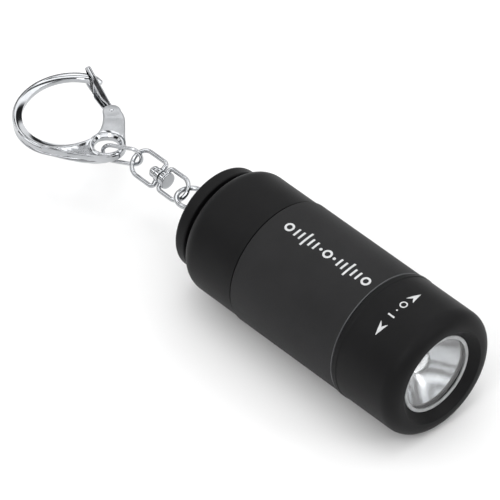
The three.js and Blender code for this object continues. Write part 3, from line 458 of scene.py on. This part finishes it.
# Cup: radius^2 = 4 * focus * depth, less a fading ripple of fine rings round the diode's hole, then the flat flange and
# the outside, a skin's thickness away.
def reflectorCup(s):
    low, high = boxOf("reflector")
    mouthY, mouth, hole = low[1], s["cupMouth"], s["cupHole"]
    focus = (mouth**2 - hole**2) / (4 * (high[1] - s["cupLip"] - mouthY))
    radii = np.linspace(hole, mouth, 90)
    fade = np.clip(1 - (radii - hole) / (s["ringCount"] * s["ringPitch"]), 0, 1)
    ripple = s["ringRise"] * np.sin((radii - hole) / s["ringPitch"] * 2 * np.pi) * fade
    inside = np.stack([mouthY + (mouth**2 - radii**2) / (4 * focus) - ripple, radii], -1)
    flangeRear = mouthY + s["cupFlangeDepth"]
    rim = roundedLoop([
        (mouthY + 0.02, mouth + 0.02, 0), (mouthY, mouth + 0.12, 0.05), (mouthY, s["cupFlange"], 0.1),
        (flangeRear, s["cupFlange"], 0.1), (flangeRear + 0.05, mouth + 0.75, 0),
    ], 4, closed=False)
    outside = (inside[::-1] + s["cupSkin"])[2:-1]
    cup = lathe(np.concatenate([inside, rim, outside]))
    makePiece("reflectorCup", [cup], "aluminiumVacuumCoated", "head", ["reflector"])


# Dome: a quarter oval, (height * (1 - cos a), radius * sin a), over a short wall, hollow for the chip below.
def diodeDome(s):
    low, high = boxOf("led_dome")
    front, rear, radius = low[1], high[1], s["domeRadius"]
    hollowDepth, hollowRadius = s["domeHollow"]
    turn = np.linspace(0.01, np.pi / 2, 28)
    crown = np.stack([front + s["domeHeight"] * (1 - np.cos(turn)), radius * np.sin(turn)], -1)
    hollow = [(rear, radius), (rear, hollowRadius), (rear - hollowDepth, hollowRadius - 0.05)]
    base = np.array(hollow + [(rear - hollowDepth - 0.05, s["nearAxis"])])
    dome = lathe(np.concatenate([crown, base]), sides=96, loop=False)
    makePiece("diodeDome", [dome], "siliconeClearCast", "head", ["led_dome"])


windowParts(light)
reflectorCup(light)
diodeDome(light)
print("light ready")


# ---- prints: thin slabs of ink bent round the shells ----

prints = {
    # the sleeve's row: kind, y from the joint line, half length round the shell, half width or radius
    "sleeveRow": [
        ("ring", 2.6, 0, 0.95), ("bar", 4.5, 0.9, 0.21), ("bar", 5.7, 0.9, 0.21), ("bar", 6.9, 1.65, 0.21),
        ("bar", 8.1, 0.9, 0.21), ("bar", 9.3, 0.9, 0.21), ("dot", 10.6, 0, 0.3), ("ring", 12.3, 0, 0.95),
        ("dot", 14.0, 0, 0.3), ("bar", 15.3, 0.9, 0.21), ("bar", 16.5, 0.9, 0.21), ("bar", 17.7, 1.65, 0.21),
        ("bar", 18.9, 0.9, 0.21), ("bar", 20.1, 0.9, 0.21), ("ring", 22.0, 0, 0.95),
    ],
    "sleeveAngle": 9.0, "ringWidth": 0.42, "inkLow": 0.004, "inkHigh": 0.03,
    "arrowTips": (-12.8, 40.7), "arrowBases": (0.0, 28.5), "arrowHalf": 0.82, "arrowNotch": 0.35, "arrowY": -6.35,
    "signAngles": (6.5, 14.0, 20.5), "signRing": 0.62, "signWidth": 0.24, "signDot": 0.17, "signBar": (0.16, 0.75),
}


# Carries (y, arc length) points to the shell: angle = arc length / radius, from the top towards -X.
def onShell(y, arc, radius, lift):
    angle = arc / radius
    return np.stack([-(radius + lift) * np.sin(angle), seamY + y, axisZ + (radius + lift) * np.cos(angle)], -1)


# A filled patch between two y curves over a run of arc lengths: each row is its cross-section at one arc length.
def inkPatch(arc, yLow, yHigh, radius):
    yLow, yHigh = np.broadcast_to(yLow, arc.shape), np.broadcast_to(yHigh, arc.shape)
    low, high = prints["inkLow"], prints["inkHigh"]
    corners = [onShell(y, arc, radius, lift) for y, lift in ((yLow, low), (yHigh, low), (yHigh, high), (yLow, high))]
    return skin(np.stack(corners, 1))


# A flat band of the given width round a circle, (size + w) * (cos a, sin a), bent to the shell.
def inkRing(y, arc, size, width, radius, points=48):
    turn = np.linspace(0, 2 * np.pi, points, endpoint=False)
    low, high, half = prints["inkLow"], prints["inkHigh"], width / 2
    rows = [
        onShell(y + (size + grow) * np.cos(turn), arc + (size + grow) * np.sin(turn), radius, lift)
        for grow, lift in ((-half, low), (half, low), (half, high), (-half, high))
    ]
    return skin(np.stack(rows, 1), closed=True)


# A round dot: half length across at x = sqrt(size^2 - x^2).
def inkDot(y, arc, size, radius):
    run = np.linspace(-0.995, 0.995, 16) * size
    half = np.sqrt(size**2 - run**2)
    return inkPatch(arc + run, y - half, y + half, radius)


# The sleeve's row of rings, bars and dots.
def sleevePrint(s):
    radius = shells["sleeveRadius"]
    middle = math.radians(s["sleeveAngle"]) * radius
    marks = []
    for kind, y, reach, size in s["sleeveRow"]:
        if kind == "bar":
            marks.append(inkPatch(middle + np.linspace(-reach, reach, 12), y - size, y + size, radius))
        elif kind == "dot":
            marks.append(inkDot(y, middle, size, radius))
        else:
            marks.append(inkRing(y, middle, size - s["ringWidth"] / 2, s["ringWidth"], radius))
    makePiece("sleevePrint", marks, "inkPadPrinted", "barrel")


# Two notched arrowheads with the off ring, a dot and the on bar between. Each half of an arrowhead widens from its tip,
# half width = t, and its inner edge leaves the centre line at the notch.
def headPrint(s):
    radius, y = shells["headRadius"], s["arrowY"]
    marks = []
    t = np.linspace(0.02, 0.995, 24)
    outerEdge = s["arrowHalf"] * t
    innerEdge = s["arrowHalf"] * np.clip((t - 1 + s["arrowNotch"]) / s["arrowNotch"], 0, 1) * t
    for tip, base in np.radians(np.stack([s["arrowTips"], s["arrowBases"]], -1)) * radius:
        run = tip + (base - tip) * t
        marks.append(inkPatch(run, y + innerEdge - 0.01, y + outerEdge + 0.02, radius))
        marks.append(inkPatch(run, y - outerEdge - 0.02, y - innerEdge + 0.01, radius))
    ringAt, dotAt, barAt = np.radians(s["signAngles"]) * radius
    barHalf, barReach = s["signBar"]
    marks.append(inkRing(y, ringAt, s["signRing"], s["signWidth"], radius))
    marks.append(inkDot(y, dotAt, s["signDot"], radius))
    marks.append(inkPatch(barAt + np.linspace(-barHalf, barHalf, 4), y - barReach, y + barReach, radius))
    makePiece("headPrint", marks, "inkPadPrinted", "head")


sleevePrint(prints)
headPrint(prints)
print("prints ready")


# ---- chain ----

chain = {
    "ringRadius": 2.75, "ringWire": 0.475,
    "bowWire": 0.425, "bowSquare": 2.3, "bowRoll": 42, "bowCorner": 0.75,
    # piece, node, width, which way it runs from its round end, body
    "bows": [
        ("bowRear", "swivel_rear_bow", 5.4, 1, "swivel_rear"), ("bowFront", "swivel_front_bow", 5.9, -1, "swivel_front"),
    ],
    "bossRadius": 1.35, "bossLength": 1.0, "bossEdge": 0.2, "crossHalf": 0.5, "crossSquare": 2.8, "crossTaper": 0.16,
    "rivetHead": 1.6, "rivetTail": 1.1, "rivetShaft": 0.6, "headThickness": 0.28, "tailLength": 1.7,
    "linkWire": 0.375, "linkReach": 7.4, "linkWidth": 4.4, "linkTurn": 29, "linkPitch": -3.1,
}


# A bow's middle line: a half circle at its round end, straight sides and a cross piece with rounded corners.
def bowPath(width, length, wire, corner):
    half, far = width / 2 - wire, length - wire
    turn = np.linspace(np.pi, 2 * np.pi, 33)
    roundEnd = np.stack([half * np.cos(turn), width / 2 + half * np.sin(turn)], -1)
    side = np.stack([np.full(8, half), np.linspace(width / 2 + 0.3, far - corner - 0.1, 8)], -1)
    quarter = np.linspace(0, np.pi / 2, 10)
    bend = np.stack([half - corner + corner * np.cos(quarter), far - corner + corner * np.sin(quarter)], -1)
    across = np.stack([np.linspace(half - corner - 0.1, 0, 6)[:-1], np.full(5, far)], -1)
    right = np.concatenate([side, bend, across])
    return np.concatenate([roundEnd, right, [[0, far]], right[::-1] * [-1, 1]])


# The cap's ring: centre + radius * (cos a, sin a, 0).
def ringWire(s):
    low, high = boxOf("tail_ring")
    turn = np.linspace(0, 2 * np.pi, 96, endpoint=False)
    path = (low + high) / 2 + s["ringRadius"] * np.stack([np.cos(turn), np.sin(turn), 0 * turn], -1)
    wire = sweep(path, ovalSection(s["ringWire"], s["ringWire"]), (0, 0, 1), closed=True)
    makePiece("ringWire", [wire], "zincDieCastChromed", "ring", ["tail_ring"])


# Each bow is its wire, a heavier cross piece, half height = 1 - taper * t^2, and the round boss that the rivet passes.
def swivelBows(s):
    roll = math.radians(s["bowRoll"])
    across = np.array([math.cos(roll), 0, math.sin(roll)])
    normal = np.array([-math.sin(roll), 0, math.cos(roll)])
    wireHalf, crossHalf = s["bowWire"], s["crossHalf"]
    for name, node, width, forward, body in s["bows"]:
        low, high = boxOf(node)
        roundEnd = low[1] if forward > 0 else high[1]
        length = high[1] - low[1]
        crossEnd = roundEnd + forward * length
        flat = bowPath(width, length, wireHalf, s["bowCorner"])
        level = np.stack([0 * flat[:, 1], roundEnd + forward * flat[:, 1], axisZ + 0 * flat[:, 1]], -1)
        section = ovalSection(wireHalf, wireHalf * 0.96, s["bowSquare"])
        wire = sweep(flat[:, :1] * across + level, section, normal, closed=True)
        run = np.linspace(-1, 1, 21)
        barPath = (run * (width / 2 - 2 * wireHalf))[:, None] * across + np.array([0, crossEnd - forward * crossHalf, axisZ])
        thick = (1 - s["crossTaper"] * run**2)[:, None, None]
        bar = sweep(barPath, ovalSection(crossHalf, crossHalf * 1.1, s["crossSquare"]) * thick, normal)
        profile = roundedLoop([
            (0, 0.02, 0), (0, s["bossRadius"], s["bossEdge"]), (s["bossLength"], s["bossRadius"], s["bossEdge"]),
            (s["bossLength"], 0.02, 0),
        ], 5, closed=False)
        profile[:, 0] = crossEnd - forward * profile[:, 0]
        boss = lathe(profile, sides=48, loop=False)
        makePiece(name, [wire, bar, boss], "zincDieCastChromed", body, [node])


# The rivet: a wide flat head, the shaft, and a rounded tail.
def rivetTurned(s):
    low, high = boxOf("swivel_rivet")
    head, tail, shaft = low[1], high[1], s["rivetShaft"]
    under, collar = head + s["headThickness"] + 0.12, tail - s["tailLength"]
    profile = roundedLoop([
        (head, 0.02, 0), (head, s["rivetHead"], 0.15), (head + s["headThickness"], s["rivetHead"], 0.1),
        (under, s["rivetHead"] * 0.7, 0.05), (under, shaft, 0.03), (collar, shaft, 0.03), (collar, s["rivetTail"], 0.2),
        (tail - 0.7, s["rivetTail"], 0.5), (tail - 0.05, 0.45, 0.25), (tail, 0.02, 0),
    ], 6, closed=False)
    rivet = lathe(profile, sides=64, loop=False)
    makePiece("rivetTurned", [rivet], "zincDieCastChromed", "swivel_rear", ["swivel_rivet"])


# The oval link: two half circles and straight sides in the plane of its length and its upright direction.
def linkOval(s):
    low, high = boxOf("oval_link")
    turned, pitch = math.radians(s["linkTurn"]), math.radians(s["linkPitch"])
    along = np.array([-math.sin(turned) * math.cos(pitch), math.cos(turned) * math.cos(pitch), math.sin(pitch)])
    aside = np.cross(along, (0, 0, 1))
    aside = aside / np.linalg.norm(aside)
    upright = np.cross(aside, along)
    half = s["linkWidth"] / 2 - s["linkWire"]
    a = np.linspace(-np.pi / 2, np.pi / 2, 33)
    tip = np.stack([s["linkReach"] / 2 - half + half * np.cos(a), half * np.sin(a)], -1)
    flat = np.concatenate([tip, [[0.0, half]], -tip, [[0.0, -half]]])
    path = (low + high) / 2 + flat[:, :1] * along + flat[:, 1:] * upright
    wire = sweep(path, ovalSection(s["linkWire"], s["linkWire"]), aside, closed=True)
    makePiece("linkOval", [wire], "zincDieCastChromed", "link", ["oval_link"])


ringWire(chain)
swivelBows(chain)
rivetTurned(chain)
linkOval(chain)
print("chain ready")


# ---- snap hook ----

hook = {
    "eyeFromPivot": (-6.3, -5.7), "loopFromEye": (1.2, 11.8), "halfLength": 10.4, "halfWidth": 9.3, "tilt": 23,
    "barWidth": 1.8, "barHeight": 1.05, "noseStart": -11, "noseEnd": 2, "baseStart": 190, "innerEnd": 241,
    "noseShare": 0.4, "noseHeight": 0.5, "barGroove": 0.16,
    "trough": 0.5, "rim": 0.95, "rimCurve": 1.6, "rimEdge": 0.42,
    "footRadius": 3.45, "footAngle": 246.0, "footHandles": (4.2, 3.0), "footDip": 0.45,
    "armFootRadius": 3.5, "armFootAngle": -34.0, "armHandles": (2.2, 1.2, 3.6, 2.6),
    "armRadius": 1.7, "armHeight": 1.6, "armStart": 1.05, "armTrough": 1.56, "armCurve": 2.0, "armEdge": (0.6, 0.22),
    "knuckleRim": 0.32, "rampEnd": 0.62, "rampEase": 0.4,
    "eyeRadius": 2.3, "eyeWall": 1.25, "eyeHeight": 1.1, "eyeThroat": 0.35,
    "forkHalf": 0.9, "earThickness": 0.7, "earReach": 0.3, "earBevel": 0.28, "earAngle": 236.0,
    "grainDepth": 0.24, "grainFromEye": 3.2, "grainReach": 5.5, "level": 0.8,
    "faceStart": 2.4, "faceHalf": 3.2, "faceLow": 0.95, "faceFromEye": 3.3,
    "pin": [(-1.6, 0.02, 0), (-1.62, 0.3, 0.1), (-1.5, 0.55, 0.15), (1.5, 0.55, 0.15), (1.68, 0.3, 0.1), (1.7, 0.02, 0)],
}


# centre + radius * (cos angle, sin angle), in degrees.
def polar(centre, radius, angle):
    a = np.radians(angle)
    return np.array(centre) + np.stack([radius * np.cos(a), radius * np.sin(a)], -1)


# A cubic curve: (1-t)^3 a + 3 t (1-t)^2 b + 3 t^2 (1-t) c + t^3 d.
def bezier(a, b, c, d, t):
    a, b, c, d = (np.array(point) for point in (a, b, c, d))
    t = t[:, None]
    return (1 - t) ** 3 * a + 3 * t * (1 - t) ** 2 * b + 3 * t**2 * (1 - t) * c + t**3 * d


# A strip between an inner and an outer edge line. Heights follow the distance d to the nearer edge: they rise over the
# rim as edge + (1 - edge) * (1 - (1 - d / rim) ^ curve), then sink to the trough, with an optional fine groove. Rows run
# across the strip, over the top and back below. An end line's difference from its straight chord fades along the strip.
def hookStrip(inner, outer, rimHeight, trough, rim, curve, edge, groove=0.0, startLine=None, endLine=None, count=21):
    stations = len(inner)
    c = (1 - np.cos(np.linspace(0, np.pi, count))) / 2
    s = np.linspace(0, 1, stations)[:, None, None]
    column = c[:, None]
    flat = (1 - column[None]) * inner[:, None] + column[None] * outer[:, None]
    if startLine:
        flat = flat + (1 - s) ** 2 * (startLine(c) - ((1 - column) * inner[0] + column * outer[0]))[None]
    if endLine:
        flat = flat + s**2 * (endLine(c) - ((1 - column) * inner[-1] + column * outer[-1]))[None]
    rimHeight, trough, rim, edge, groove = (
        np.broadcast_to(value, (stations,))[:, None] for value in (rimHeight, trough, rim, edge, groove)
    )
    d = np.minimum(c, 1 - c)[None] * np.linalg.norm(outer - inner, axis=1)[:, None]
    rise = np.clip(d / rim, 0, 1)
    height = rimHeight * (edge + (1 - edge) * (1 - (1 - rise) ** curve))
    sink = np.clip((d - rim) / 1.1, 0, 1)
    sink = sink * sink * (3 - 2 * sink)
    height = height + (trough - rimHeight) * sink
    height = height - groove * np.exp(-(((c - 0.62) / 0.1) ** 2))[None]
    top = np.concatenate([flat, (axisZ + height)[..., None]], -1)
    below = np.concatenate([flat, (axisZ - height)[..., None]], -1)[:, ::-1]
    return skin(np.concatenate([top, below], 1))


# The casting: the bar that runs into the base, the arm, the eye's flared ring and the two ears, with their finishes.
def hookParts(s):
    pivot = anchorOf("gate_open")[:2]
    eye = pivot + s["eyeFromPivot"]
    middle = eye + s["loopFromEye"]
    tilt = math.radians(s["tilt"])
    turnLoop = np.array([[math.cos(tilt), -math.sin(tilt)], [math.sin(tilt), math.cos(tilt)]])
    barHalf = s["barWidth"] / 2

    # A point on the loop's oval, its half axes grown: middle + turn * ((a + grow) cos, (b + grow) sin).
    def onLoop(angle, grow):
        t = np.radians(angle)
        flat = np.stack([(s["halfLength"] + grow) * np.cos(t), (s["halfWidth"] + grow) * np.sin(t)], -1)
        return middle + flat @ turnLoop.T

    # Bar and base: the inner edge keeps to the oval, the outer edge leaves it for the underside of the eye.
    angles = np.linspace(s["noseStart"], s["baseStart"], 150)
    swell = np.clip((angles - s["noseStart"]) / (s["noseEnd"] - s["noseStart"]), 0, 1)
    half = barHalf * (s["noseShare"] + (1 - s["noseShare"]) * np.sin(swell * np.pi / 2))
    innerBar, outerBar = onLoop(angles, -half), onLoop(angles, half)
    t = np.linspace(0, 1, 60)[1:]
    innerBase = onLoop(s["baseStart"] + (s["innerEnd"] - s["baseStart"]) * t, -barHalf + 0 * t)
    start, heading = outerBar[-1], outerBar[-1] - outerBar[-2]
    heading = heading / np.linalg.norm(heading)
    goal, goalHeading = polar(eye, s["footRadius"], s["footAngle"]), polar((0, 0), 1, s["footAngle"] + 90)
    leave, arrive = s["footHandles"]
    outerBase = bezier(start, start + heading * leave, goal - goalHeading * arrive, goal, t)
    inner, outer = np.concatenate([innerBar, innerBase]), np.concatenate([outerBar, outerBase])
    crotch = inner[-1] - eye
    topAngle, topRadius = math.degrees(math.atan2(crotch[1], crotch[0])), np.linalg.norm(crotch)

    # An arc about the eye from the crotch of the loop to a foot, dipped in its middle to run under the ring.
    def eyeArc(c, radius, angle):
        dipped = topRadius + (radius - topRadius) * c - s["footDip"] * np.sin(np.pi * c)
        return polar(eye, dipped, topAngle + (angle - topAngle) * c)

    grown = np.concatenate([s["barHeight"] * (s["noseHeight"] + s["noseHeight"] * swell), np.full(len(t), s["barHeight"])])
    groove = s["barGroove"] * np.concatenate([swell, (1 - t) ** 2])
    base = hookStrip(
        inner, outer, grown, s["trough"], s["rim"], s["rimCurve"], s["rimEdge"], groove,
        endLine=lambda c: eyeArc(c, s["footRadius"], s["footAngle"]),
    )

    # Arm: from the eye's upper side to the pivot, its height easing up to the ears' height.
    t = np.linspace(0, 1, 50)
    inwards = inner[-1] - inner[-2]
    inwards = inwards / np.linalg.norm(inwards)
    across, armRadius = s["armFootAngle"], s["armRadius"]
    neck = polar(pivot, s["earReach"] / 2, s["earAngle"])
    knuckleLeft, knuckleRight = polar(neck, armRadius, across + 180), polar(neck, armRadius, across)
    armFoot = polar(eye, s["armFootRadius"], across)
    a, b, c, d = s["armHandles"]
    innerArm = bezier(inner[-1], inner[-1] + inwards * a, knuckleLeft + polar((0, 0), b, 240.0), knuckleLeft, t)
    outerArm = bezier(armFoot, armFoot + polar((0, 0), c, 54.0), knuckleRight + polar((0, 0), d, 258.0), knuckleRight, t)
    ramp = np.clip(t / s["rampEnd"], 0, 1)
    ramp = ramp * (2 - ramp) * s["rampEase"] + ramp * (1 - s["rampEase"])
    rising = s["barHeight"] + (s["armHeight"] - s["barHeight"]) * ramp
    armFloor = s["armStart"] + (s["armTrough"] - s["armStart"]) * ramp
    armRim = s["rim"] + (s["knuckleRim"] - s["rim"]) * ramp
    arm = hookStrip(
        innerArm, outerArm, rising, armFloor, armRim, s["armCurve"], s["armEdge"][0] + s["armEdge"][1] * ramp,
        startLine=lambda c: eyeArc(c, s["armFootRadius"], across),
    )

    # Eye: a ring flared towards its middle. Ears: two plates either side of the gate's tongue.
    h, r, w, throat = s["eyeHeight"], s["eyeRadius"], s["eyeWall"], s["eyeThroat"]
    profile = roundedLoop([
        (-throat, r, 0.3), (throat, r, 0.3), (h, r + w / 2, 0.45),
        (h / 2, r + w, 0.5), (-h / 2, r + w, 0.5), (-h, r + w / 2, 0.45),
    ], 8)
    ring = lathe(profile, (*eye, axisZ), axis="Z", sides=96)
    foot = polar(pivot, s["earReach"], s["earAngle"])
    farSide = polar(pivot, armRadius, np.linspace(across, across + 180, 30))
    nearSide = polar(foot, armRadius, np.linspace(across + 180, across + 360, 20))
    outline, thick, frameAxes = np.concatenate([farSide, nearSide]), s["earThickness"], ((1, 0, 0), (0, 1, 0), (0, 0, 1))
    ears = [plate(outline, low, low + thick, s["earBevel"], onAxis, *frameAxes) for low in (-s["forkHalf"] - thick, s["forkHalf"])]
    surfaces = [base, arm, ring] + ears
    cast = makePiece("hookCast", surfaces, "zincDieCastChromed", "hook", ["hook_body"], smoothAngle=50)

    # The trough's floor keeps the casting's grain: level faces at its height, between the bar and the eye.
    centres, normals = faceData(cast.data)
    fromEye, heights = centres[:, :2] - eye, np.abs(centres[:, 2] - axisZ)
    distance = np.linalg.norm(fromEye, axis=1)
    inTrough = (np.abs(normals[:, 2]) > s["level"]) & (np.abs(heights - s["trough"]) < s["grainDepth"])
    inTrough &= (distance > s["grainFromEye"]) & (fromEye[:, 1] < s["grainReach"])
    # The arm's face: between the eye and the pivot, within the arm's width, on top and underneath.
    toPivot = (pivot - eye) / np.linalg.norm(pivot - eye)
    along, aside = fromEye @ toPivot, fromEye @ np.array([-toPivot[1], toPivot[0]])
    onArm = (along > s["faceStart"]) & (np.abs(aside) < s["faceHalf"]) & (heights > s["faceLow"])
    onArm &= ~inTrough & (distance > s["faceFromEye"])
    cast.data.materials.append(materials["zincDieCastBlasted"])
    cast.data.materials.append(materials["zincDieCastTumbled"])
    cast.data.polygons.foreach_set("material_index", (inTrough + 2 * onArm).astype(np.int32))
    pin = lathe(roundedLoop(s["pin"], 5, closed=False), (*pivot, axisZ), axis="Z", sides=40, loop=False)
    makePiece("pinTurned", [pin], "zincDieCastChromed", "hook", ["gate_pin"])


gate = {
    "angle": 70.4, "start": 1.9, "slotStart": 9.6, "length": 12.8, "rootHalf": 0.95, "tipHalf": 2.35, "sectionHalf": 2,
    "back": -0.9, "floor": -0.3, "tipFace": 0.05, "sideReach": 0.35, "sideThickness": 0.42,
    "sideStart": (2.4, 2.2), "sideEnd": 2.0, "rootSide": 0.1, "overlap": (0.3, 0.6), "forkBevel": 0.28,
    "slotHalf": 1.45, "corner": 0.85, "tongueLow": -0.75, "tongueTop": -0.05, "knuckle": 1.25, "pinHole": 0.66,
    "neck": [(0.9, -0.9, 0.1), (2.6, -0.9, 0.1), (2.6, 0.2, 0.1), (0.9, 0.2, 0.1)],
}


# A folded channel that widens along its length, half = root + (tip - root) * share of the way, where a fork at the tip
# passes the nose and a tongue turns about the pin. The channel's sides rise and fall with a smooth step.
def gateParts(s):
    pivot = np.array([*anchorOf("gate_open")[:2], axisZ])
    angle = math.radians(s["angle"])
    along, up = np.array([math.cos(angle), math.sin(angle), 0]), np.array([0, 0, 1.0])
    inside = np.array([-math.sin(angle), math.cos(angle), 0])
    halfAt = lambda reach: s["rootHalf"] + (s["tipHalf"] - s["rootHalf"]) * (reach - s["start"]) / (s["length"] - s["start"])
    back, floor, side, full = s["back"], s["floor"], s["sideReach"], s["sectionHalf"]
    lip = full - s["sideThickness"]
    section = roundedLoop([
        (back, -full, 0.25), (back, full, 0.25), (side, full, 0.12), (side, lip, 0.12),
        (floor, lip, 0.1), (floor, -lip, 0.1), (side, -lip, 0.12), (side, -full, 0.12),
    ], 4)
    channelEnd = s["slotStart"] + s["overlap"][0]
    reach = np.linspace(s["start"], channelEnd, 40)
    riseStart, riseLength = s["sideStart"]
    fold = np.clip((reach - riseStart) / riseLength, 0, 1) * np.clip((channelEnd - reach) / s["sideEnd"], 0, 1)
    fold = fold * fold * (3 - 2 * fold)
    first, second = section[None, :, 0], section[None, :, 1]
    folded = floor + (first - floor) * (s["rootSide"] + (1 - s["rootSide"]) * fold[:, None])
    across = np.where(first > floor, folded, first)
    height = second + np.sign(second) * (halfAt(reach)[:, None] - full)
    channel = skin(pivot + reach[:, None, None] * along + across[..., None] * inside + height[..., None] * up)
    start, end, slot, tipHalf, corner = s["slotStart"], s["length"], s["slotHalf"], s["tipHalf"], s["corner"]
    root = start - s["overlap"][1]
    tip = roundedLoop([
        (root, -halfAt(root), 0.05), (end, -tipHalf, corner), (end, -slot, 0.35), (start, -slot, 0.5),
        (start, slot, 0.5), (end, slot, 0.35), (end, tipHalf, corner), (root, halfAt(root), 0.05),
    ], 6)
    fork = plate(tip, back, s["tipFace"], s["forkBevel"], pivot, along, up, inside)
    low, top, hole, outer = s["tongueLow"], s["tongueTop"], s["pinHole"], s["knuckle"]
    disc = roundedLoop([(low, hole, 0.05), (low, outer, 0.12), (top, outer, 0.12), (top, hole, 0.05)], 4)
    knuckle = lathe(disc, pivot, axis="Z", sides=48)
    neck = plate(roundedLoop(s["neck"], 3), low, top, 0.1, pivot, along, inside, up)
    surfaces = [channel, fork, knuckle, neck]
    makePiece("gateFolded", surfaces, "zincDieCastChromed", "gate", ["hook_gate"], smoothAngle=35)


hookParts(hook)
gateParts(gate)
print("snap hook ready")


# ---- studio ----

studio = {
    "floorSize": 2.4,
    # the camera: where it stands from the middle of the joint line, how it is turned, and its lens
    "cameraFromSeam": (-0.5176, -0.5255, 0.6757), "azimuth": -42.751, "elevation": 41.645, "lens": 410.4, "film": 36,
    # bands of the sky: height above the horizon, brightness
    "sky": [
        (0.0, 0.02), (0.14, 0.03), (0.18, 1.0), (0.3, 1.1), (0.35, 0.03), (0.5, 0.02), (0.56, 1.5), (0.72, 1.6),
        (0.745, 0.04), (0.81, 0.04), (0.84, 1.7), (0.9, 1.7), (0.915, 0.05), (0.945, 0.05), (0.96, 1.8),
    ],
    "skyStrength": 1.35,
    # softboxes: place, aim, size, watts
    "lights": [((-0.5, -0.2, 0.55), (0, 0, 0), 0.2, 0.7), ((0.2, -0.45, 0.3), (0, -0.03, 0.01), 0.12, 0.25)],
}


# A plain square of paper under the torch.
def floorPaper(s):
    side = s["floorSize"] / 2
    mesh = bpy.data.meshes.new("floor")
    mesh.from_pydata([(-side, -side, 0), (side, -side, 0), (side, side, 0), (-side, side, 0)], [], [(0, 1, 2, 3)])
    floor = bpy.data.objects.new("floor", mesh)
    bpy.context.scene.collection.objects.link(floor)
    mesh.materials.append(materials["paperSeamless"])


# Two soft lamps, and a sky of light and dark bands for the chrome to show: brightness follows the direction's height.
def studioLights(s):
    scene = bpy.context.scene
    for index, (place, aim, size, watts) in enumerate(s["lights"]):
        lamp = bpy.data.lights.new("softbox%d" % index, "AREA")
        lamp.shape, lamp.size, lamp.energy = "SQUARE", size, watts
        lampObject = bpy.data.objects.new(lamp.name, lamp)
        scene.collection.objects.link(lampObject)
        lampObject.location = place
        lampObject.rotation_euler = (Vector(aim) - Vector(place)).to_track_quat("-Z", "Y").to_euler()
    world = bpy.data.worlds.new("studioSky")
    scene.world = world
    world.use_nodes = True
    tree = world.node_tree
    tree.nodes.clear()
    direction = addNode(tree, "ShaderNodeTexCoord").outputs["Generated"]
    height = addNode(tree, "ShaderNodeSeparateXYZ", None, {0: direction}).outputs[2]
    ramp = addNode(tree, "ShaderNodeValToRGB", None, {0: height})
    bands = ramp.color_ramp.elements
    for index, (where, value) in enumerate(s["sky"]):
        band = bands[index] if index < 2 else bands.new(where)
        band.position, band.color = where, (value, value, value, 1)
    glow = {"Color": ramp.outputs[0], "Strength": s["skyStrength"]}
    background = addNode(tree, "ShaderNodeBackground", None, glow)
    addNode(tree, "ShaderNodeOutputWorld", None, {"Surface": background.outputs[0]})


# A long lens, far off.
def studioCamera(s):
    scene = bpy.context.scene
    camera = bpy.data.cameras.new("camera")
    camera.lens, camera.sensor_width = s["lens"], s["film"]
    cameraObject = bpy.data.objects.new("camera", camera)
    scene.collection.objects.link(cameraObject)
    cameraObject.location = Vector((0, seamY * mm, axisZ * mm)) + Vector(s["cameraFromSeam"])
    cameraObject.rotation_euler = (math.pi / 2 - math.radians(s["elevation"]), 0, math.radians(s["azimuth"]))
    scene.camera = cameraObject
    scene.view_settings.view_transform = "Standard"


floorPaper(studio)
studioLights(studio)
studioCamera(studio)
